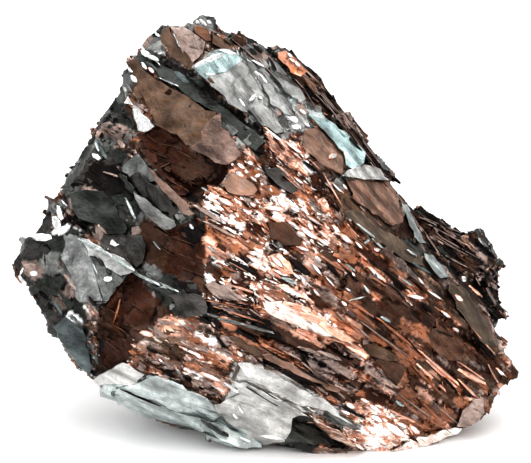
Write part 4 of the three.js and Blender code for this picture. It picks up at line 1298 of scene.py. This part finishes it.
def tellurium_material():
    """Metal whose colour and gloss come from the crystal, with tarnish spots, fine striation, painted
    highlights with white cores in bright bars, and painted shade in the gaps between bars.
    """
    name = "bare tellurium"
    if name in bpy.data.materials:
        return bpy.data.materials[name]
    material = bpy.data.materials.new(name)
    material.use_nodes = True
    tree = material.node_tree
    tree.nodes.clear()

    finish = attribute(tree, "finish")
    grain = attribute(tree, "grain").out("Vector")
    sparkle = attribute(tree, "sparkle").out("Fac")
    place = node(tree, "ShaderNodeTexCoord").out("Object")

    def streaks(texture, stretch):
        """A noise drawn out along the grain."""
        drawn = node(tree, "ShaderNodeVectorMath", {"operation": "MULTIPLY"}, {0: grain, 1: stretch}).out(0)
        return noise_at(tree, drawn, texture)

    striation, bars = streaks(STRIATION, STRIATION_STRETCH), streaks(BARS, BARS_STRETCH)
    cloud, speck, patch, mottle = (noise_at(tree, place, kind) for kind in (CLOUD, SPECK, PATCH, MOTTLE))
    gloss = finish.out("Alpha")

    # the four noises darken and lighten the finish; the glossiest are left nearly even
    shade = (0.25 + 1.5 * cloud) * (0.55 + 0.9 * striation) * (0.72 + 0.56 * speck) * (0.5 + patch)
    calm = gloss.between(0.5, 0.6)
    shade = shade + (1.1 - shade) * calm
    # painted highlights in bright bars where the piece sparkles, and painted shade in the gaps between bars
    bright = (bars + 0.12 * sparkle + 0.3 * (cloud - 0.5)).between(0.60, 0.76) * sparkle
    gap_shade = (bars - 0.1 * (cloud - 0.5)).between(0.44, 0.30)
    gap_shade = gap_shade * (0.3 + 0.7 * sparkle.between(0.0, 0.4)) * (1.0 - calm)
    shaded = scaled_colour(tree, finish.out("Color"), shade * (1.0 + 1.6 * bright) * (1.0 - 0.75 * gap_shade))
    # tarnish in spots of more and less colour, and a painted white highlight at the core of the bright bars
    tarnished = node(tree, "ShaderNodeHueSaturation", {}, {
        "Color": shaded, "Saturation": 0.6 + 0.75 * mottle}).out(0)
    highlight_core = (bright - 0.4).between(0.0, 0.35)
    colour = node(tree, "ShaderNodeMix", {"data_type": "RGBA"}, {
        "Factor": highlight_core, 6: tarnished, 7: GLINT_WHITE}).out(2)
    roughness = 0.6 - 0.5 * gloss + 0.16 * (cloud - 0.5)
    relief = striation * 0.4 + bars * 0.9 + cloud * 0.5 + speck * 0.15
    bump = node(tree, "ShaderNodeBump", {}, {
        "Strength": BUMP_STRENGTH, "Distance": BUMP_DEPTH, "Height": relief}).out("Normal")

    surface = node(tree, "ShaderNodeBsdfPrincipled", {}, {
        "Base Color": colour, "Roughness": roughness, "Normal": bump, "Metallic": 1.0}).out("BSDF")
    node(tree, "ShaderNodeOutputMaterial", {}, {"Surface": surface})
    return material


# ---------------------------------------------------------------------------------------------------------
# Properties
def colour_property(name, description, default):
    """A colour of three parts."""
    return bpy.props.FloatVectorProperty(
        name=name, description=description, default=default, min=0.0, max=1.0, size=3, subtype="COLOR")


def length_property(name, description, default):
    """A length in metres."""
    return bpy.props.FloatProperty(
        name=name, description=description, default=default, min=0.0, unit="LENGTH", subtype="DISTANCE")


def density_property(name, default):
    """How thickly a coat grows."""
    return bpy.props.FloatProperty(
        name=name, description="Spots per square millimetre that are tried", default=default, min=0.01)


class TelluriumFinishes(bpy.types.PropertyGroup):
    """The colours that the crystals take."""

    __annotations__ = {name: colour_property(name.capitalize(), finish.use, finish.colour)
                       for name, finish in FINISHES_WITH_PAINTED_LIGHT.items()}


class TelluriumSizes(bpy.types.PropertyGroup):
    """The sizes and numbers of the crystals."""

    seed: bpy.props.IntProperty(name="Seed", description="Which crystals grow", default=52, min=0)
    column_density: density_property("Columns", 1.5)
    fibre_density: density_property("Fibres", 5.0)
    grain_density: density_property("Grains", 3.0)
    flake_density: density_property("Flakes", 1.3)
    chip_density: density_property("Chips", 1.3)
    column_length: length_property("Column length", "Length of the longest columns", 0.0055)
    column_width: length_property("Column width", "Width of the widest columns", 0.00062)
    plate_depth: length_property("Face depth", "How deep a cleavage face is rooted", 0.0014)


class StageSettings(bpy.types.PropertyGroup):
    """The floor and the lights."""

    floor_radius: length_property("Floor radius", "Half the width of the floor", 3.0)
    floor_colour: colour_property("Floor colour", "Colour of the floor", (0.93, 0.93, 0.93))
    world_level: bpy.props.FloatProperty(
        name="Room light", description="Strength of the light from all round", default=0.53, min=0.0)


# ---------------------------------------------------------------------------------------------------------
# Operators
DRAWS = ("faces", "columns", "flakes", "chips", "blades", "grains", "hidden faces", "fibres")


def seeded(draws):
    """The random draws for one use of them."""
    return np.random.default_rng((bpy.context.scene.tellurium_sizes.seed, 1 + DRAWS.index(draws)))


# painted shade: the deepest cells of the body are darkened by this share
DEEP_PAINTED_SHADE = 0.75  # how much darker the deepest cells are
BODY_SMOOTH, FACES_SMOOTH = radians(26), radians(24)  # edges flatter than this are rounded in looks


class TELLURIUM_OT_body(bpy.types.Operator):
    """The broken body under the crystals"""

    bl_idname = "tellurium.body"
    bl_label = "Body"

    def execute(self, context):
        corners, triangles, zones = ground().corners, ground().triangles, ground().zones
        shares, _ = cells_at(corners, zones)
        finishes = finishes_at(corners, zones, shares[:, 3])
        # painted shade: the deeper a cell lies, the darker its colour
        finishes[:, :3] *= (1 - DEEP_PAINTED_SHADE * ground().depths / DEEPEST)[:, None]
        piece = piece_from("tellurium_body", corners, triangles, finishes[triangles.ravel()],
                           grain_places(corners), sparkle_of(zones), smooth_below=BODY_SMOOTH)
        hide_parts(NODE)
        return {"FINISHED"}


class TELLURIUM_OT_faces(bpy.types.Operator):
    """The large cleavage faces of the broad side"""

    bl_idname = "tellurium.faces"
    bl_label = "Cleavage faces"

    def execute(self, context):
        rng = seeded("faces")
        made, parts = 0, []
        for plate in ground().plates:
            corners, triangles, colours, grains = plate_part(plate, rng)
            sparkles = np.full(len(corners), PLATE_SPARKLES.get(plate.finish, PLATE_SPARKLE))
            parts.append((corners, triangles + made, colours, grains, sparkles))
            made += len(corners)
        piece_from("tellurium_faces", *(np.concatenate(rows) for rows in zip(*parts)),
                   smooth_below=FACES_SMOOTH)
        return {"FINISHED"}


RAGGED_STEP, RAGGED_SHIFT = 0.6, 0.1
# PLATE_SPARKLE and PLATE_SPARKLES: how much painted glint a face gets, by its finish
PLATE_CHAMFER, PLATE_SPARKLE = 0.06, 0.04
PLATE_SPARKLES = {"blush": 0.9, "dawn": 1.0, "glint": 1.0, "coral": 0.5, "rose": 0.3, "ice": 0.25}
PLATE_EDGE = 0.42  # the longest edge of a face's triangles
PLATE_TOP, PLATE_RIM = 0.95, 0.3  # a triangle's part is told by how far it faces forward
ROOTED, DEEPEST_ROOT = 0.5, 4.5  # how deep a face's edge is let into the surface behind it, and at most
WRINKLE_SPACING, WRINKLE = (2.6, 0.8, 0.8), 0.24
SHADING_SPACING, SHADING = (3.2, 1.1, 1.1), 0.7  # how a face's lightness changes along the grain
BOX_MARGIN = 0.01


def ragged(outline, rng):
    """The outline with extra corners that stray a little, as a broken edge does."""
    corners = []
    for start, end in zip(outline, np.roll(outline, -1, axis=0)):
        steps = max(1, int(np.linalg.norm(end - start) / RAGGED_STEP))
        corners.append(start)
        for step in range(1, steps):
            corners.append(start + (end - start) * step / steps + rng.normal(0, RAGGED_SHIFT, 2))
    return np.array(corners)


def root_depth(fitted, point):
    """How far behind the face its root lies there, so that it reaches into the body, in metres."""
    across, up, out = face_spots(point, fitted.face)
    behind = ground().depth(across, up, fitted.face)
    return 0.0 if behind is None else min(out - behind + ROOTED, DEEPEST_ROOT) * MM


def plate_part(fitted, rng):
    """One cleavage face: a flat top with a chamfered broken edge, rooted in the body behind."""
    edge = ragged(fitted.outline, rng)
    depth = bpy.context.scene.tellurium_sizes.plate_depth
    bm = bmesh.new()
    out = Vector(fitted.face.axes[2])
    top = part_points(np.column_stack([edge, fitted.out_at(edge)]), fitted.face) * MM
    face = bm.faces.new([bm.verts.new(corner) for corner in top])
    bm.normal_update()
    front = face.normal * (1 if face.normal.dot(out) > 0 else -1)
    grown = bmesh.ops.extrude_face_region(bm, geom=[face])["geom"]
    new_top = [part for part in grown if isinstance(part, bmesh.types.BMFace)][0]
    for v in bm.verts:
        if v not in new_top.verts[:]:
            down = max(depth, root_depth(fitted, np.array(v.co) / MM))
            bmesh.ops.translate(bm, verts=[v], vec=-out * down)
    chamfer(bm, new_top.edges[:], PLATE_CHAMFER * MM)
    bmesh.ops.recalc_face_normals(bm, faces=bm.faces)
    bmesh.ops.triangulate(bm, faces=bm.faces)
    bm.normal_update()
    refine(bm, PLATE_EDGE)
    corners = np.array([v.co for v in bm.verts]) / MM
    triangles, faces = triangles_of(bm)
    facing = np.array([part.normal.dot(front) for part in faces])
    on_top = np.array([all(part.normal.dot(front) > PLATE_RIM for part in v.link_faces) for v in bm.verts])
    bm.free()
    folds = grain_places(corners) / WRINKLE_SPACING
    wrinkles = WRINKLE * np.array([noise.noise(fold) for fold in folds])
    corners += (on_top * wrinkles)[:, None] * np.array(front)
    low, high = BOX
    corners = np.clip(corners, low + BOX_MARGIN, high - BOX_MARGIN)
    part = np.where(facing > PLATE_TOP, TOP, np.where(facing > PLATE_RIM, RIM, WALL))
    colours = np.repeat(part_tints(finish_of(fitted.finish)[None])[0, part], 3, axis=0)
    places = grain_places(corners)
    lightness = 1 + SHADING * slow_noise(places / SHADING_SPACING, 1.0, SHADING_START)
    colours[:, :3] = np.minimum(colours[:, :3] * lightness[triangles.ravel(), None], 1.0)
    return corners, triangles, colours, places


# SHADOW_RISE is where the dark blades of painted shade lie
BLADE_HEIGHT, BLADE_RISE, SHADOW_RISE = 0.7, (0.16, 0.34), 0.24
BLADE_STEEPEST, BLADE_UNEVEN = 1.2, 0.3  # on ground that is steeper and less even a blade is cut short
BLADE_PROBES = np.linspace(-0.5, 0.5, 5)  # where along its line the ground is probed
# BLADE_SPARKLE is how much painted glint a blade gets
BLADE_TILT, BLADE_SPARKLE = radians(9), 0.3
BLADE_OVERLONG = 1.15  # the forms' slanted ends make a blade shorter than its length


class TELLURIUM_OT_blades(bpy.types.Operator):
    """The single crystals that stand out on the broad side"""

    bl_idname = "tellurium.blades"
    bl_label = "Single blades"

    def execute(self, context):
        rng = seeded("blades")
        forms = [blade_form(rng) for _ in range(FORMS)]
        rows = []
        for finish, places in BLADES.items():
            for *line, width in places:
                rows.append(placed_blade(np.array(line, float).reshape(2, 2), width, finish, rng))
        fields = [np.array(column) for column in zip(*(row for row in rows if row is not None))]
        crystals = Crystals(rng.integers(0, len(forms), len(fields[0])), *fields)
        piece_from("tellurium_blades", *joined_crystals(forms, crystals))
        return {"FINISHED"}


def placed_blade(line, width, finish, rng):
    """Centre, axes, size and tints of one blade laid along a line of the show face."""
    start, end = across_up(line)
    for share in SHORTER:
        middle = (start + end) / 2
        spots = middle + (end - start) * share * BLADE_PROBES[:, None]
        depths = [ground().front(*spot) for spot in spots]
        uneven = BLADE_STEEPEST * np.linalg.norm(end - start) * share + BLADE_UNEVEN
        if None not in depths and np.ptp(depths) < uneven:
            break
    else:
        return None
    slope, _ = np.polyfit(BLADE_PROBES, depths, 1)
    step = (*((end - start) * share), slope)
    along = unit(np.array(step) @ SHOW.axes)
    facing = unit(OUT - (OUT @ along) * along)
    side = np.cross(facing, along)
    facing, side = (row[0] for row in turned(facing[None], side[None], rng.normal(0, BLADE_TILT, 1)))
    rise = SHADOW_RISE if finish == "shadow" else rng.uniform(*BLADE_RISE)
    centre = part_points((*middle, np.median(depths))) + facing * (rise - BLADE_HEIGHT / 2)
    size = (np.linalg.norm(step) * BLADE_OVERLONG, width / TENTHS, BLADE_HEIGHT)
    finishes = finish_of(finish)[None]
    tints = part_tints(finishes, glows(finishes, zones_at(centre[None], OUT[None])))[0]
    return centre, along, side, facing, size, tints, BLADE_SPARKLE


SHORTEST_COLUMN, NARROWEST_COLUMN = 0.25, 0.28  # shares of the longest and the widest


class TELLURIUM_OT_columns(bpy.types.Operator):
    """The long thin columns that lie side by side"""

    bl_idname = "tellurium.columns"
    bl_label = "Columns"

    def execute(self, context):
        sizes = context.scene.tellurium_sizes
        longest, widest = sizes.column_length / MM, sizes.column_width / MM
        return grow("tellurium_columns", "columns", column_form, Coat(
            kind="columns", density=sizes.column_density, length=(SHORTEST_COLUMN * longest, longest),
            width=(NARROWEST_COLUMN * widest, widest), height=(0.4, 0.7), rise=(-0.05, 0.22),
            wander=radians(3.5), tilt=radians(14), lies_flat=False))


class TELLURIUM_OT_fibres(bpy.types.Operator):
    """The thinnest columns, on the dark rims"""

    bl_idname = "tellurium.fibres"
    bl_label = "Fibres"

    def execute(self, context):
        return grow("tellurium_fibres", "fibres", column_form, Coat(
            kind="fibres", density=context.scene.tellurium_sizes.fibre_density, length=(1.2, 4.0),
            width=(0.1, 0.28), height=(0.3, 0.5), rise=(0.0, 0.14), wander=radians(1.5), tilt=radians(14),
            lies_flat=True))


class TELLURIUM_OT_grains(bpy.types.Operator):
    """The short stout columns of the bright parts"""

    bl_idname = "tellurium.grains"
    bl_label = "Grains"

    def execute(self, context):
        return grow("tellurium_grains", "grains", grain_form, Coat(
            kind="grains", density=context.scene.tellurium_sizes.grain_density, length=(0.7, 2.3),
            width=(0.26, 0.62), height=(0.3, 0.5), rise=(0.0, 0.2), wander=radians(6), tilt=radians(14),
            lies_flat=True))


class TELLURIUM_OT_flakes(bpy.types.Operator):
    """The thin flakes of the hackly faces"""

    bl_idname = "tellurium.flakes"
    bl_label = "Flakes"

    def execute(self, context):
        return grow("tellurium_flakes", "flakes", flake_form, Coat(
            kind="flakes", density=context.scene.tellurium_sizes.flake_density, length=(0.8, 2.6),
            width=(0.4, 1.3), height=(0.3, 0.5), rise=(0.0, 0.14), wander=radians(9), tilt=radians(8),
            lies_flat=True))


class TELLURIUM_OT_chips(bpy.types.Operator):
    """The blocky chips of the broken lumps"""

    bl_idname = "tellurium.chips"
    bl_label = "Chips"

    def execute(self, context):
        return grow("tellurium_chips", "chips", chip_form, Coat(
            kind="chips", density=context.scene.tellurium_sizes.chip_density, length=(0.6, 2.0),
            width=(0.4, 1.3), height=(0.4, 0.8), rise=(-0.1, 0.1), wander=radians(25), tilt=radians(12),
            lies_flat=True))


class TELLURIUM_OT_stage(bpy.types.Operator):
    """The floor, the lights and the camera"""

    bl_idname = "tellurium.stage"
    bl_label = "Stage"

    def execute(self, context):
        stage = context.scene.tellurium_stage
        add_floor(stage.floor_radius, stage.floor_colour)
        add_room_light(stage.world_level)
        for light in LIGHTS:
            add_light(light)
        add_camera()
        context.scene.view_settings.view_transform = "Standard"
        return {"FINISHED"}


def add_floor(radius, colour):
    """A wide matt floor."""
    bm = bmesh.new()
    bmesh.ops.create_grid(bm, x_segments=1, y_segments=1, size=radius)
    mesh = bpy.data.meshes.new("floor")
    bm.to_mesh(mesh)
    bm.free()
    floor = bpy.data.objects.new("floor", mesh)
    bpy.context.scene.collection.objects.link(floor)
    material = bpy.data.materials.new("floor")
    material.use_nodes = True
    tree = material.node_tree
    tree.nodes.clear()
    surface = node(tree, "ShaderNodeBsdfDiffuse", {}, {"Color": (*colour, 1.0)}).out("BSDF")
    node(tree, "ShaderNodeOutputMaterial", {}, {"Surface": surface})
    mesh.materials.append(material)


def add_room_light(level):
    """Even white light from all round."""
    world = bpy.data.worlds.new("room")
    world.use_nodes = True
    background = world.node_tree.nodes["Background"]
    background.inputs["Color"].default_value = WHITE
    background.inputs["Strength"].default_value = level
    bpy.context.scene.world = world


Softbox = namedtuple("Softbox", "name place width radiance colour")
LIGHTS = [
    Softbox("top", (0.0, 0.10, 0.75), 1.1, 2.2, (1.0, 1.0, 1.0)),
    Softbox("front", (-0.1, -0.62, 0.42), 0.6, 1.6, (1.0, 1.0, 1.0)),
    Softbox("rear", (-0.2, 0.62, 0.40), 0.5, 1.6, (1.0, 1.0, 1.0)),
    Softbox("key", (0.36, -0.34, 0.32), 0.32, 3.7, (1.0, 0.95, 0.91)),
    Softbox("side", (-0.42, -0.05, 0.30), 0.2, 2.2, (0.93, 0.98, 1.0)),
]
AIM = Vector((0.0, 0.0, 0.02))
WHITE = (1.0, 1.0, 1.0, 1.0)


def add_light(box):
    """A square lamp that is aimed at the lump and is as bright as its radiance says."""
    light = bpy.data.lights.new(box.name, "AREA")
    light.size = box.width
    light.energy = box.radiance * pi * box.width**2
    light.color = box.colour
    lamp = bpy.data.objects.new(box.name, light)
    bpy.context.scene.collection.objects.link(lamp)
    lamp.location = box.place
    lamp.rotation_euler = (AIM - Vector(box.place)).to_track_quat("-Z", "Y").to_euler()


VIEW_UP, VIEW_WIDTH, VIEW_DISTANCE, SENSOR = 22.05, 53.1, 600.0, 36.0
VIEW_FROM, VIEW_TO = 0.05, 20.0  # the nearest and the farthest that is seen, in metres


def add_camera():
    """The camera, square to the show face."""
    camera = bpy.data.cameras.new("camera")
    camera.sensor_width = SENSOR
    camera.lens = SENSOR * VIEW_DISTANCE / VIEW_WIDTH
    camera.clip_start, camera.clip_end = VIEW_FROM, VIEW_TO
    holder = bpy.data.objects.new("camera", camera)
    bpy.context.scene.collection.objects.link(holder)
    holder.location = Vector(part_points((0.0, VIEW_UP, VIEW_DISTANCE)) * MM)
    axes = Matrix((Vector(ACROSS), Vector(UP), Vector(OUT))).transposed()
    holder.rotation_euler = axes.to_euler()
    bpy.context.scene.camera = holder


class TELLURIUM_PT_panel(bpy.types.Panel):
    """Lists the steps and the values they use"""

    bl_idname = "TELLURIUM_PT_panel"
    bl_label = "Tellurium Chunk"
    bl_space_type = "VIEW_3D"
    bl_region_type = "UI"
    bl_category = "Tellurium"

    def draw(self, context):
        for step in STEPS:
            self.layout.operator(step.bl_idname)
        for group in ("tellurium_sizes", "tellurium_finishes", "tellurium_stage"):
            values = getattr(context.scene, group)
            box = self.layout.box()
            for name in values.bl_rna.properties.keys():
                if name not in ("rna_type", "name"):
                    box.prop(values, name)


STEPS = (TELLURIUM_OT_stage, TELLURIUM_OT_body, TELLURIUM_OT_faces, TELLURIUM_OT_blades,
         TELLURIUM_OT_columns, TELLURIUM_OT_fibres, TELLURIUM_OT_grains, TELLURIUM_OT_flakes,
         TELLURIUM_OT_chips)
CLASSES = (TelluriumFinishes, TelluriumSizes, StageSettings, *STEPS, TELLURIUM_PT_panel)


def register():
    """Adds the classes and their values to Blender."""
    for item in CLASSES:
        bpy.utils.register_class(item)
    bpy.types.Scene.tellurium_finishes = bpy.props.PointerProperty(type=TelluriumFinishes)
    bpy.types.Scene.tellurium_sizes = bpy.props.PointerProperty(type=TelluriumSizes)
    bpy.types.Scene.tellurium_stage = bpy.props.PointerProperty(type=StageSettings)


def unregister():
    """Takes the classes and their values out of Blender."""
    del bpy.types.Scene.tellurium_stage
    del bpy.types.Scene.tellurium_sizes
    del bpy.types.Scene.tellurium_finishes
    for item in reversed(CLASSES):
        bpy.utils.unregister_class(item)


def main():
    """Runs every step."""
    register()
    bpy.ops.tellurium.stage()
    bpy.ops.tellurium.body()
    bpy.ops.tellurium.faces()
    bpy.ops.tellurium.blades()
    bpy.ops.tellurium.columns()
    bpy.ops.tellurium.fibres()
    bpy.ops.tellurium.grains()
    bpy.ops.tellurium.flakes()
    bpy.ops.tellurium.chips()


if __name__ == "__main__":
    main()
